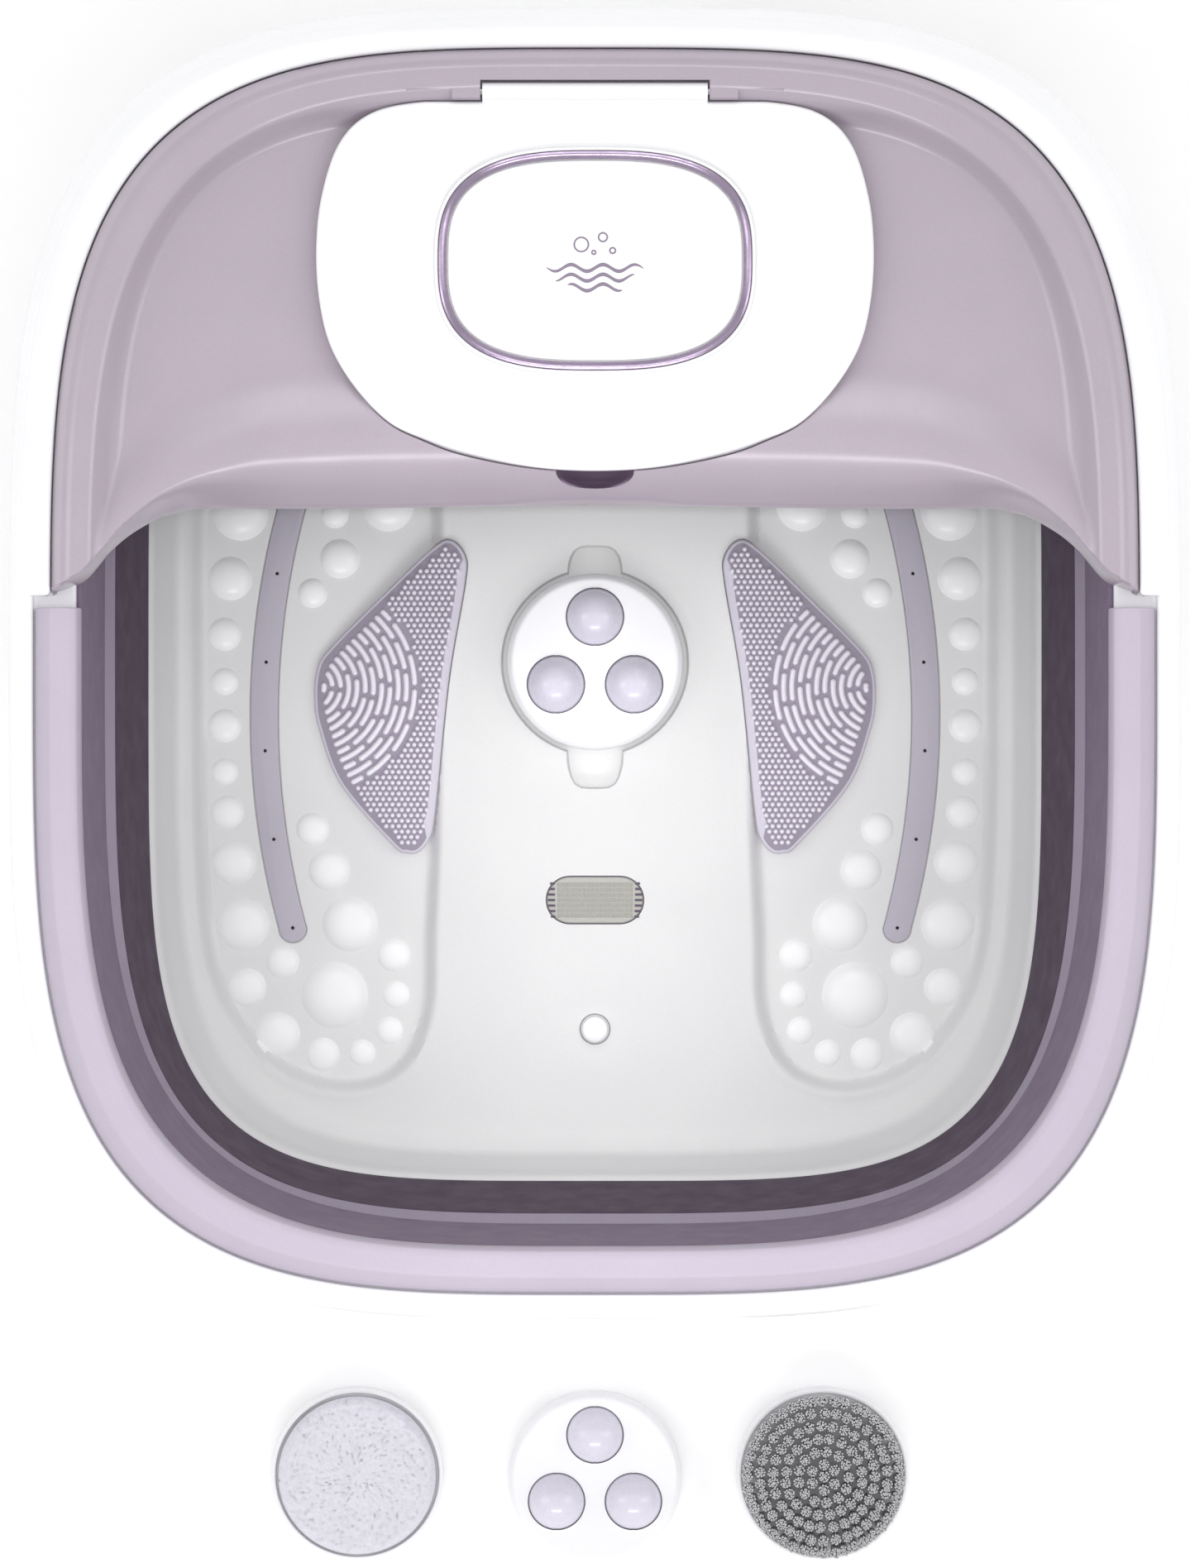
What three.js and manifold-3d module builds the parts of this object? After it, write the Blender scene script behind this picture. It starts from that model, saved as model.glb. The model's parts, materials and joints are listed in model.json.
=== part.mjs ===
// Collapsible foot spa basin with its three push-in treatment heads laid out in front of it.
// Millimetres, +Z up, the user sits at -Y, the splash guard is at +Y.

import * as THREE from 'three';
import { mergeVertices } from 'three/addons/utils/BufferGeometryUtils.js';
import Module from 'manifold-3d';

const wasm = await Module();
wasm.setup();

// ---- driving dimensions ---------------------------------------------------------------------

const BASIN_Y = 48;             // middle of the basin, from the origin
const LENGTH_EXTRA = 23;        // every ring is this much longer than wide, half against half
const RING_SEGMENTS = 40;
const GAP = 0.4;                // clearance between touching pieces

const RIM_HALF_WIDTH = 194.3;   // outer shell
const LINER_HALF_WIDTH = 184.6;
const GUARD_HALF_WIDTH = 178.8;
const WALL_TOP_HALF_WIDTH = 169.4;
const PAN_HALF_WIDTH = 151.4;

const LEDGE_Z = 195.5;          // the upper shell's ledge, which the liner and the guard rest on
const SPLIT_Y = 20;             // the liner is in front of this line, the guard behind it

const CONSOLE_Z = 60;           // top of the pan's middle console
const BED_Z = 54;               // floor of the two foot beds
const PAN_UNDER_Z = 51;
const PLATE_Z = [4.3, 8.3];     // base plate
const FOOT_PLACES = [[-122, -148], [122, -148], [-122, 148], [122, 148]];
const SCREW_PLACES = [[-128, -100], [128, -100], [-128, 100], [128, 100]];

const DOCK_Y = 2;
const DOCK_RADIUS = 32;
const LENS_Y = -80;
const TOE_Y = -124.5;

const LID_TOP_Z = 207;
const LID_THICKNESS = 3.1;
const LID_MIDDLE_Y = 124.3;
const LID_HALF = [91.7, 61.2];
const HINGE = { y: 187.6, z: 207, pinRadius: 1.3, boreRadius: 1.75, knuckleRadius: 2.9, halfWidth: 37 };
const HINGE_BLOCK_Z = HINGE.z + 2;
const MESH_TOLERANCE = 0.05;
const TRAY_HALF = [80, 46];
const TRAY_Y = 121;
const TRAY_TOP_Z = 196;
const MEDALLION_Y = 132;

const HEAD_RADIUS = 30.25;
const BALL_RADIUS = 10.1;
const BALL_RING = 15.5;         // ball centres from the head's axis
const BALL_Z = 12.9;
const HEAD_ROW = { pumice: [-83.2, -281.8], roller: [0, -283], brush: [79.8, -281.8] };

// ---- materials ------------------------------------------------------------------------------

function finish(color, roughness, metalness = 0) {
  return () => new THREE.MeshStandardMaterial({ color, roughness, metalness });
}

const white = finish(0xf4f4f3, 0.4);
const lavender = finish(0xc9bdce, 0.45);
const purpleRubber = finish(0x5c4c62, 0.7);
const paleSilicone = finish(0xc8c5cf, 0.6);
const ballPlastic = finish(0xd6d3e0, 0.3);
const metallicLavender = finish(0xb9aec0, 0.25, 0.6);
const clearPlastic = finish(0xdfe0da, 0.15);
const blackRubber = finish(0x2a2a2c, 0.85);
const darkPlastic = finish(0x3a3a3e, 0.6);
const steel = finish(0xb0b2b5, 0.35, 0.9);
const circuitGreen = finish(0x2f6b45, 0.6);
const pumiceStone = finish(0xd9d8de, 0.95);
const bristleGrey = finish(0x9a9a9e, 0.9);

// ---- solids ---------------------------------------------------------------------------------

function signedVolume(position, index) {
  const [a, b, c] = [new THREE.Vector3(), new THREE.Vector3(), new THREE.Vector3()];
  let volume = 0;
  for (let i = 0; i < index.length; i += 3) {
    a.fromBufferAttribute(position, index[i]);
    b.fromBufferAttribute(position, index[i + 1]);
    c.fromBufferAttribute(position, index[i + 2]);
    volume += a.dot(b.cross(c));
  }
  return volume;
}

// A closed three.js geometry as a solid with its faces pointing out.
function solid(geometry) {
  const bare = geometry.clone();
  bare.deleteAttribute('normal');
  bare.deleteAttribute('uv');
  const welded = mergeVertices(bare, 1e-4);
  const position = welded.getAttribute('position');
  const corners = Array.from(welded.getIndex().array);
  const kept = [];
  for (let i = 0; i < corners.length; i += 3) {
    const [a, b, c] = corners.slice(i, i + 3);
    if (a !== b && b !== c && a !== c) kept.push(a, b, c);
  }
  if (signedVolume(position, kept) < 0) kept.reverse();
  return new wasm.Manifold(new wasm.Mesh({
    numProp: 3,
    vertProperties: new Float32Array(position.array),
    triVerts: new Uint32Array(kept),
  }));
}

function geometryOf(body) {
  const mesh = body.getMesh();
  const geometry = new THREE.BufferGeometry();
  geometry.setAttribute('position', new THREE.BufferAttribute(mesh.vertProperties, 3));
  geometry.setIndex(new THREE.BufferAttribute(mesh.triVerts, 1));
  geometry.computeVertexNormals();
  return geometry;
}

function add(parent, name, body, material, place = [0, 0, 0]) {
  const mesh = new THREE.Mesh(geometryOf(body), material());
  mesh.name = name;
  mesh.position.set(...place);
  parent.add(mesh);
  return mesh;
}

const join = (first, ...others) => others.reduce((body, other) => body.add(other), first);
const cut = (first, ...others) => others.reduce((body, other) => body.subtract(other), first);

function box([x0, x1], [y0, y1], [z0, z1]) {
  const geometry = new THREE.BoxGeometry(x1 - x0, y1 - y0, z1 - z0);
  return solid(geometry.translate((x0 + x1) / 2, (y0 + y1) / 2, (z0 + z1) / 2));
}

function cylinder(radius, [z0, z1], [x, y] = [0, 0], segments = 20) {
  const geometry = new THREE.CylinderGeometry(radius, radius, z1 - z0, segments);
  return solid(geometry.rotateX(Math.PI / 2).translate(x, y, (z0 + z1) / 2));
}

function rodAlongX(radius, [x0, x1], [y, z], segments = 16) {
  const geometry = new THREE.CylinderGeometry(radius, radius, x1 - x0, segments);
  return solid(geometry.rotateZ(Math.PI / 2).translate((x0 + x1) / 2, y, z));
}

function sphere(radius, [x, y, z], segments = 20, rows = 12) {
  return solid(new THREE.SphereGeometry(radius, segments, rows).rotateX(Math.PI / 2).translate(x, y, z));
}

function extrude(shape, [z0, z1], curveSegments = 12) {
  const geometry = new THREE.ExtrudeGeometry(shape, { depth: z1 - z0, bevelEnabled: false, curveSegments });
  return solid(geometry.translate(0, 0, z0));
}

// A turned piece about Z from [radius, z] pairs.
function turned(profile, segments = 32, [x, y] = [0, 0]) {
  const points = profile.map(([radius, z]) => new THREE.Vector2(radius, z));
  return solid(new THREE.LatheGeometry(points, segments).rotateX(Math.PI / 2).translate(x, y, 0));
}

function mirrored(geometry, side) {
  return side < 0 ? geometry.clone().scale(-1, 1, 1) : geometry;
}

// ---- the basin's rounded-rectangle rings ----------------------------------------------------

// Wide rings are rounder than the pan's edge.
function squareness(halfWidth) {
  const wide = THREE.MathUtils.clamp((halfWidth - 153) / 12, 0, 1);
  return THREE.MathUtils.lerp(4.3, 3.6, wide);
}

function roundedPoint(halfWidth, halfLength, power, angle) {
  const [c, s] = [Math.cos(angle), Math.sin(angle)];
  return new THREE.Vector2(
    halfWidth * Math.sign(c) * Math.abs(c) ** (2 / power),
    halfLength * Math.sign(s) * Math.abs(s) ** (2 / power),
  );
}

function roundedShape([halfWidth, halfLength], power, segments, [x, y] = [0, 0]) {
  const points = [];
  for (let i = 0; i < segments; i += 1) {
    const point = roundedPoint(halfWidth, halfLength, power, (2 * Math.PI * i) / segments);
    points.push(point.add(new THREE.Vector2(x, y)));
  }
  return new THREE.Shape(points);
}

function basinShape(halfWidth) {
  const size = [halfWidth, halfWidth + LENGTH_EXTRA];
  return roundedShape(size, squareness(halfWidth), RING_SEGMENTS);
}

// A ring or dish around the basin, from [half width, z] pairs.
function basinSweep(profile) {
  const points = profile.map(([halfWidth, z]) => new THREE.Vector2(halfWidth, z));
  const geometry = new THREE.LatheGeometry(points, RING_SEGMENTS).rotateX(Math.PI / 2);
  const position = geometry.getAttribute('position');
  const core = 100;
  for (let i = 0; i < position.count; i += 1) {
    const [x, y] = [position.getX(i), position.getY(i)];
    const halfWidth = Math.hypot(x, y);
    if (halfWidth < 1e-6) continue;
    const extra = LENGTH_EXTRA * Math.min(1, halfWidth / core);
    const angle = Math.atan2(y, x);
    const point = roundedPoint(halfWidth, halfWidth + extra, squareness(halfWidth), angle);
    position.setXY(i, point.x, point.y);
  }
  return solid(geometry);
}

function closedSweep(profile) {
  return basinSweep([...profile, profile[0]]);
}

// Straight lines between [at, value] pairs.
function along(pairs, at) {
  if (at <= pairs[0][0]) return pairs[0][1];
  for (let i = 1; i < pairs.length; i += 1) {
    const [[a, u], [b, v]] = [pairs[i - 1], pairs[i]];
    if (at <= b) return THREE.MathUtils.mapLinear(at, a, b, u, v);
  }
  return pairs[pairs.length - 1][1];
}

// The solid between two height functions over a rectangle.
function between(bottom, top, [x0, x1], [y0, y1], [columns, rows]) {
  const geometry = new THREE.BoxGeometry(x1 - x0, y1 - y0, 1, columns, rows, 1);
  geometry.translate((x0 + x1) / 2, (y0 + y1) / 2, 0);
  const position = geometry.getAttribute('position');
  for (let i = 0; i < position.count; i += 1) {
    const height = position.getZ(i) > 0 ? top : bottom;
    position.setZ(i, height(position.getX(i), position.getY(i)));
  }
  return solid(geometry);
}

function smoothOutline(points, divisions) {
  const curve = new THREE.CatmullRomCurve3(points.map(([x, y]) => new THREE.Vector3(x, y, 0)), true);
  return new THREE.Shape(curve.getPoints(divisions).slice(0, -1).map((p) => new THREE.Vector2(p.x, p.y)));
}

// ---- base -----------------------------------------------------------------------------------

function baseShell() {
  const wall = closedSweep([
    [175.5, 5], [181, 58], [180.4, 71], [176.5, 79.5], [168, 83.4], [158.2, 83.8],
    [158.2, 80.8], [168.3, 80.5], [174.5, 77.2], [178.1, 68], [178.2, 58], [172.9, 5],
  ]);
  const glandHole = new THREE.CylinderGeometry(5.9, 5.9, 20, 16).translate(60, 198, 25);
  return cut(wall, solid(glandHole));
}

function basePlate() {
  let plate = extrude(basinShape(172), PLATE_Z);
  for (const [x, y] of [[-104, -12], [-56, -12], [-104, 38], [-56, 38]]) {
    plate = plate.add(cylinder(4, [PLATE_Z[1] - 0.5, 15.7], [x, y], 8));
  }
  for (const [x, y] of [[-22, 117], [22, 117], [0, 67]]) {
    plate = plate.add(cylinder(4, [PLATE_Z[1] - 0.5, 11.7], [x, y], 8));
  }
  for (const place of SCREW_PLACES) {
    plate = cut(plate, cylinder(4.6, [3, 6.6], place, 10), cylinder(2.5, [3, 10], place, 10));
  }
  return plate;
}

const rubberFoot = () => turned([[0, 0], [10, 0], [11, 1.2], [11, 3.9], [0, 3.9]], 20);

const baseScrew = () => turned([[0, 4.6], [4, 4.6], [4, 6.2], [2, 6.2], [2, 24], [0, 24]], 12);

const NODES = [
  [122.4, 53.7, 9.7], [125.8, 30.9, 7.5], [127.8, 11.7, 5.7], [127.8, -4.6, 4.7], [127.8, -19.9, 5.7],
  [127.8, -35.7, 4.6], [126.9, -49.7, 5.7], [124.6, -67.1, 7.7], [121.5, -88.5, 9.1], [120.1, -110.2, 6.6],
  [109.5, -126.5, 7.7], [93.9, -133.3, 5.7], [80.4, -132.8, 4.6], [71, -125.1, 4.7], [68.7, -112.8, 4.7],
  [69.5, -99.1, 5.7], [89.8, -112.8, 11.4], [107.8, -101.4, 5.7], [97.5, -55.6, 5.7], [91.8, -69.7, 7.1],
  [84.6, -88.3, 9.5], [97.5, 25.9, 5.1], [88.1, 37.7, 6.8], [89.8, 53.1, 4.8], [71.5, 56, 8.8],
  [117, 79, 8.5], [109, 100, 7], [92, 108, 8.5], [75, 102, 6.5], [64, 86, 6], [88, 84, 10.5],
];

const BED_EDGE = [
  [53, 0], [54, 62], [60, 102], [78, 121], [104, 121], [126, 102], [137, 62], [138, 0], [137, -62],
  [132, -106], [114, -134], [90, -145], [68, -140], [57, -120], [55.5, -90], [54, -55],
];

// Outline of the half-moon arch scrubber in the right bed.
const SCRUBBER_EDGE = [
  [49.6, 44], [44.6, 38.2], [44.9, 28.6], [50.4, -4.3], [55, -49.1], [57, -58.8], [61, -63.6],
  [65.3, -63.7], [69.8, -61.1], [87.8, -40.3], [95.2, -21.4], [96.9, -11.1], [96, -0.5],
  [91.6, 6.8], [73.5, 24.9], [56.4, 41],
];

const STRIP = { radius: 278, centreX: -163.8, centreY: -16.6, width: 9.5, endsY: [-90, 63] };
const BUBBLE_HOLE_PITCH = 30.6;
const BUBBLE_HOLE_FIRST_Y = -89.7;

function stripX(y) {
  return STRIP.centreX + Math.sqrt(STRIP.radius ** 2 - (y - STRIP.centreY) ** 2);
}

function stripShape(grow) {
  const half = STRIP.width / 2 + grow;
  const [low, high] = STRIP.endsY;
  const steps = 7;
  const inner = [];
  const outer = [];
  for (let i = 0; i <= steps; i += 1) {
    const y = THREE.MathUtils.lerp(low, high, i / steps);
    inner.push(new THREE.Vector2(stripX(y) - half, y));
    outer.push(new THREE.Vector2(stripX(y) + half, y));
  }
  const cap = (y, sign) => [-0.5, 0, 0.5].map((share) => new THREE.Vector2(
    stripX(y) - sign * half * share * 1.4,
    y - sign * half * (share ? 0.72 : 1),
  ));
  return new THREE.Shape([...outer, ...cap(high, -1).reverse(), ...inner.reverse(), ...cap(low, 1).reverse()]);
}

// The scrubber leans up towards the console.
function scrubberHeight(x) {
  return THREE.MathUtils.mapLinear(Math.abs(x), 97, 45, 57, 63.5);
}

function sided(makeRight, side) {
  return solid(mirrored(geometryOf(makeRight()), side));
}

function bedCut() {
  return extrude(smoothOutline(BED_EDGE, 28), [BED_Z, 90]);
}

function scrubberSolid(grow, top) {
  const [middleX, middleY] = [72, -10];
  const spread = SCRUBBER_EDGE.map(([x, y]) => {
    const away = new THREE.Vector2(x - middleX, y - middleY);
    away.setLength(away.length() + grow);
    return [middleX + away.x, middleY + away.y];
  });
  const outline = extrude(smoothOutline(spread, 24), [BED_Z, 80]);
  return outline.intersect(between(() => BED_Z + (grow > 0 ? 0 : GAP), top, [40, 105], [-75, 55], [4, 1]));
}

function domes() {
  return NODES.map(([x, y, r]) => turned([
    [0, BED_Z - 1.5], [1.1 * r, BED_Z - 1.5], [0.6 * r, BED_Z + 0.4 * r], [0, BED_Z + 0.4 * r],
  ], 6, [x, y]));
}

function rightBedFeatures(pan) {
  const strip = extrude(stripShape(GAP), [BED_Z - 1.5, BED_Z + 3]);
  const hoseHole = cylinder(4.1, [PAN_UNDER_Z - 2, BED_Z], [stripX(58), 58], 12);
  const scrubberSeat = scrubberSolid(GAP, () => 80);
  return join(cut(pan, bedCut(), scrubberSeat), ...domes()).subtract(strip).subtract(hoseHole)
    .subtract(scrubberSeat);
}

function tubPan() {
  let pan = basinSweep([
    [0, CONSOLE_Z], [137.5, CONSOLE_Z], [144.5, 63.5], [149.4, 74], [PAN_HALF_WIDTH, 80.2], [163, 80.2],
    [163, 77.8], [153.8, 77.6], [148, 61], [139.5, PAN_UNDER_Z], [0, PAN_UNDER_Z],
  ]);
  for (let half = 0; half < 2; half += 1) {
    pan = rightBedFeatures(pan);
    pan = solid(geometryOf(pan).scale(-1, 1, 1));
  }
  const hollowUnder = [[-150, -135], [-114, -92], [-68, -44], [44, 150]];
  for (const lengths of hollowUnder) {
    pan = cut(pan, box([-42, 42], lengths, [40, CONSOLE_Z - 3]));
  }
  const notch = box([-9.7, 9.7], [-39.4, 40], [BED_Z, 90]);
  const lensHole = extrude(lensShape(GAP), [PAN_UNDER_Z - 5, 90]);
  pan = cut(pan, cylinder(DOCK_RADIUS, [BED_Z, 90], [0, DOCK_Y], 28), notch, lensHole);
  pan = cut(pan, cylinder(4.9, [40, 90], [0, TOE_Y], 16), cylinder(6.4, [40, CONSOLE_Z - 3], [0, TOE_Y], 16));
  for (const place of SCREW_PLACES) {
    pan = pan.add(cylinder(5, [PLATE_Z[1] + GAP, PAN_UNDER_Z + 1], place, 12));
    pan = pan.subtract(cylinder(2.4, [0, 27], place, 12));
  }
  return pan;
}

function bubbleStrip() {
  let strip = extrude(stripShape(0), [BED_Z - 1.5 + GAP, BED_Z + 0.6]);
  for (let i = 0; i < 6; i += 1) {
    const y = BUBBLE_HOLE_FIRST_Y + i * BUBBLE_HOLE_PITCH;
    strip = cut(strip, cylinder(0.6, [40, 70], [stripX(y), y], 6));
  }
  return strip;
}

const archScrubber = () => scrubberSolid(0, (x) => scrubberHeight(x));

function lensShape(grow) {
  const [half, radius] = [16.6 + grow, 8 + grow];
  const shape = new THREE.Shape();
  shape.moveTo(-half + radius, -radius + LENS_Y);
  shape.lineTo(half - radius, -radius + LENS_Y);
  shape.absarc(half - radius, LENS_Y, radius, -Math.PI / 2, Math.PI / 2);
  shape.lineTo(-half + radius, radius + LENS_Y);
  shape.absarc(-half + radius, LENS_Y, radius, Math.PI / 2, (3 * Math.PI) / 2);
  return shape;
}

function bellowsWall() {
  return closedSweep([
    [152.6, 80.6], [161.6, 131], [165, 137], [WALL_TOP_HALF_WIDTH, 190.2], [181, 190.2], [181, 188],
    [171.6, 187.5], [167.3, 137], [164.2, 130.6], [156, 84.6], [157.4, 80.6],
  ]);
}

// ---- what the base holds --------------------------------------------------------------------

const BLOWER_Y = 95;

function blowerHousing() {
  let housing = turned([
    [12, 12], [34, 12], [34, 34], [3.5, 34], [3.5, 32], [31.8, 32], [31.8, 14], [12, 14], [12, 12],
  ], 16, [0, BLOWER_Y]);
  for (const side of [-1, 1]) {
    const port = rodAlongX(4.4, side > 0 ? [32.5, 45] : [-45, -32.5], [BLOWER_Y, 23], 10);
    const passage = rodAlongX(2.6, side > 0 ? [28, 50] : [-50, -28], [BLOWER_Y, 23], 10);
    housing = cut(housing.add(port), passage);
  }
  return housing;
}

function blowerImpeller() {
  let impeller = turned([[0, 15], [28, 15], [28, 16.4], [5, 16.4], [5, 29], [0, 29]], 18);
  const vanes = 8;
  for (let i = 0; i < vanes; i += 1) {
    const vane = new THREE.BoxGeometry(19, 1.4, 11).translate(17.5, 0, 21.8);
    impeller = impeller.add(solid(vane.rotateZ((2 * Math.PI * i) / vanes)));
  }
  return impeller.add(cylinder(1.6, [28, 35.8], [0, 0], 12));
}

function blowerMotor() {
  const can = cylinder(14, [34.5, 56.2], [0, BLOWER_Y], 24);
  return cut(can, cylinder(2.2, [30, 36.6], [0, BLOWER_Y], 12));
}

function airHose() {
  const route = new THREE.CatmullRomCurve3([
    new THREE.Vector3(45.5, BLOWER_Y, 23), new THREE.Vector3(60, BLOWER_Y, 23),
    new THREE.Vector3(88, 84, 27), new THREE.Vector3(stripX(58), 64, 36),
    new THREE.Vector3(stripX(58), 58, 44), new THREE.Vector3(stripX(58), 58, 52.2),
  ]);
  const ring = new THREE.Shape().absarc(0, 0, 3.5, 0, 2 * Math.PI);
  ring.holes.push(new THREE.Path().absarc(0, 0, 2.2, 0, 2 * Math.PI));
  return solid(new THREE.ExtrudeGeometry(ring, { steps: 8, extrudePath: route, curveSegments: 3 }));
}

const MOTOR = { y: -46, z: 34, radius: 12 };

function vibrationMotor() {
  const can = rodAlongX(MOTOR.radius, [-18, 17], [MOTOR.y, MOTOR.z], 20);
  return cut(can, rodAlongX(1.9, [11.6, 20], [MOTOR.y, MOTOR.z], 12));
}

const motorShaft = () => rodAlongX(1.5, [12, 28], [0, 0], 12);

function eccentricWeight() {
  const half = new THREE.Shape().absarc(0, 0, 10.5, Math.PI, 2 * Math.PI);
  const geometry = new THREE.ExtrudeGeometry(half, { depth: 7, bevelEnabled: false, curveSegments: 8 });
  const disc = solid(geometry.rotateX(Math.PI / 2).rotateZ(Math.PI / 2).translate(20, 0, 0));
  const hub = rodAlongX(3.6, [20, 27], [0, 0], 14);
  return cut(disc.add(hub), rodAlongX(1.85, [15, 32], [0, 0], 12));
}

function motorBracket() {
  const block = box([-5, 5], [MOTOR.y - 16, MOTOR.y + 16], [19, CONSOLE_Z - 3 - GAP]);
  const lower = box([-10, 10], [MOTOR.y - 20, MOTOR.y + 30], [PAN_UNDER_Z - GAP, 70]);
  const bore = rodAlongX(MOTOR.radius + GAP, [-9, 9], [MOTOR.y, MOTOR.z], 24);
  return cut(block, bore, lower);
}

const heaterPlate = () => box([-78, 78], [42, 62], [47.4, PAN_UNDER_Z - GAP]);

const thermostat = () => turned([[0, 41], [5, 41], [8, 42.5], [8, 47], [0, 47]], 16, [40, 52]);

function controlBoard() {
  const board = box([-110, -50], [-18, 44], [16, 17.6]);
  const relay = box([-100, -82], [-8, 8], [17.5, 30]);
  const transformer = box([-76, -56], [10, 34], [17.5, 34]);
  const capacitor = cylinder(5, [17.5, 36], [-94, 28], 14);
  return join(board, relay, transformer, capacitor);
}

function toeSwitch() {
  const body = box([-6, 6], [TOE_Y - 6, TOE_Y + 6], [38, 45.5]);
  return body.add(cylinder(1.8, [45, 47.6], [0, TOE_Y], 10));
}

function toeButton() {
  return turned([
    [0, -10], [2, -10], [2, -4.6], [5.8, -4.6], [5.8, -3.4], [4.4, -3.4], [4.4, 2.6], [3.7, 3.4], [0, 3.4],
  ], 20);
}

function lightHousing() {
  const outer = box([-20, 20], [LENS_Y - 10.5, LENS_Y + 10.5], [42, PAN_UNDER_Z - GAP]);
  return cut(outer, box([-18, 18], [LENS_Y - 8.6, LENS_Y + 8.6], [44, 70]));
}

function lightBoard() {
  let board = box([-17, 17], [LENS_Y - 7.5, LENS_Y + 7.5], [44.4, 45.8]);
  for (const x of [-9, 0, 9]) {
    board = board.add(box([x - 2.5, x + 2.5], [LENS_Y - 2.5, LENS_Y + 2.5], [45.6, 47.4]));
  }
  return board;
}

const lightLens = () => extrude(lensShape(0), [PAN_UNDER_Z + 4, CONSOLE_Z + 0.3]);

// The cord's inlet bushing through the back of the base shell, along Y.
function cordGland() {
  const profile = [[3.2, -4], [8.4, -4], [8.4, 4.4], [5.4, 4.4], [5.4, 9.5], [3.2, 9.5], [3.2, -4]];
  const points = profile.map(([radius, y]) => new THREE.Vector2(radius, -y));
  return solid(new THREE.LatheGeometry(points, 16).translate(60, 206.7, 25));
}

// ---- the upper frame ------------------------------------------------------------------------

function upperShell() {
  const skirt = closedSweep([
    [RIM_HALF_WIDTH, 150], [RIM_HALF_WIDTH, 184], [193.2, 191.5], [190.2, 197], [187, 199.4], [185.2, 198.8],
    [185.2, LEDGE_Z], [171.2, LEDGE_Z], [171.2, 191.2], [187.5, 191.2], [190.4, 188], [191.6, 182], [191.6, 150],
  ]);
  const infill = closedSweep([
    [179.4, LEDGE_Z - 1], [189, LEDGE_Z - 1], [190, 197.4], [186.6, 201.2], [182.5, 203.4], [179.4, 203.4],
  ]);
  return skirt.add(cut(infill, box([-210, 210], [-230, SPLIT_Y + 2], [180, 220])));
}

function rimLiner() {
  const ring = closedSweep([
    [LINER_HALF_WIDTH, LEDGE_Z + GAP], [LINER_HALF_WIDTH, 198], [179.4, 205.6], [172.8, 206.2], [170.5, 205],
    [169.6, 202], [169.6, 190.7], [170.7, 190.7], [170.7, LEDGE_Z + GAP],
  ]);
  return cut(ring, box([-210, 210], [SPLIT_Y - 2, 230], [180, 220]));
}

// ---- the splash guard -----------------------------------------------------------------------

// Front edge and crest of the guard, as [distance from the middle, Y].
const GUARD_FRONT = [[0, 52.2], [100, 51], [130, 51], [141, 49], [152, 43.5], [160, 37], [168.5, 27], [179, 22]];
const GUARD_CREST = [[0, 74], [65, 73.4], [106, 70.7], [125, 65], [141, 57.5], [155, 46], [168, 31], [179, 24]];
const GUARD_THICKNESS = 3;
const CREST_Z = 206;
const FRONT_EDGE_Z = 190;

function guardTop(x, y) {
  const front = along(GUARD_FRONT, Math.abs(x));
  const lip = Math.max(2.5, along(GUARD_CREST, Math.abs(x)) - front);
  const share = THREE.MathUtils.clamp((y - front) / lip, -1, 1);
  const rise = FRONT_EDGE_Z + (CREST_Z - FRONT_EDGE_Z) * Math.sin((share * Math.PI) / 2);
  return rise - 6.5 * THREE.MathUtils.smoothstep(y - front - lip, 0, 28);
}

// The raised bead around the guard and the skirt that stands on the ledge.
function guardBead() {
  const ring = closedSweep([
    [176.4, LEDGE_Z + GAP], [GUARD_HALF_WIDTH, LEDGE_Z + GAP], [GUARD_HALF_WIDTH, 203], [175.4, 208.2],
    [172.6, 210], [166.3, 209.5], [160.5, 203], [157, 200.2], [156.8, 197.1], [161.5, 198.6], [167.5, 206],
    [173.6, 206.2], [176.4, 202.5],
  ]);
  return cut(ring, box([-210, 210], [-230, SPLIT_Y + 2], [180, 220]));
}

function guardPlan() {
  const front = GUARD_FRONT.slice(0, -1);
  const right = front.map(([x, y]) => new THREE.Vector2(x, y));
  const left = front.slice(1).map(([x, y]) => new THREE.Vector2(-x, y)).reverse();
  const far = 240;
  const corners = [[200, 22], [200, far], [-200, far], [-200, 22]].map(([x, y]) => new THREE.Vector2(x, y));
  const frontCut = new THREE.Shape([...left, ...right, ...corners]);
  return extrude(frontCut, [150, 230]).intersect(extrude(basinShape(GUARD_HALF_WIDTH), [150, 230]));
}

const LID_EDGE = [
  [0, 63.1], [22, 64.4], [43.4, 68.5], [56, 73], [67.9, 79], [79, 90.5], [87, 104], [90.7, 119], [91.7, 136],
  [90, 153], [84.5, 170], [75, 179.8], [60, 183.9], [38, 184.3],
];

function lidShape(grow) {
  const scaleX = (LID_HALF[0] + grow) / LID_HALF[0];
  const scaleY = (LID_HALF[1] + grow) / LID_HALF[1];
  const place = ([x, y]) => [x * scaleX, LID_MIDDLE_Y + (y - LID_MIDDLE_Y) * scaleY];
  const right = LID_EDGE.map(place);
  const left = right.slice(1).map(([x, y]) => [-x, y]).reverse();
  return new THREE.Shape([...right, ...left].map(([x, y]) => new THREE.Vector2(x, y)));
}

// The lid is flat, and its front end bends down over the guard's crest.
function lidTop(x, y) {
  return LID_TOP_Z - 5 * THREE.MathUtils.smoothstep(80 - y, 0, 17);
}

const OVER_LID = [[-100, 100], [55, 195], [1, 28]];
const trayShape = (grow) => roundedShape(TRAY_HALF.map((half) => half + grow), 3, 24, [0, TRAY_Y]);
const scoopShape = (grow) => roundedShape([13 + grow, 6.2 + grow], 2.4, 14, [0, 63.6]);

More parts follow.
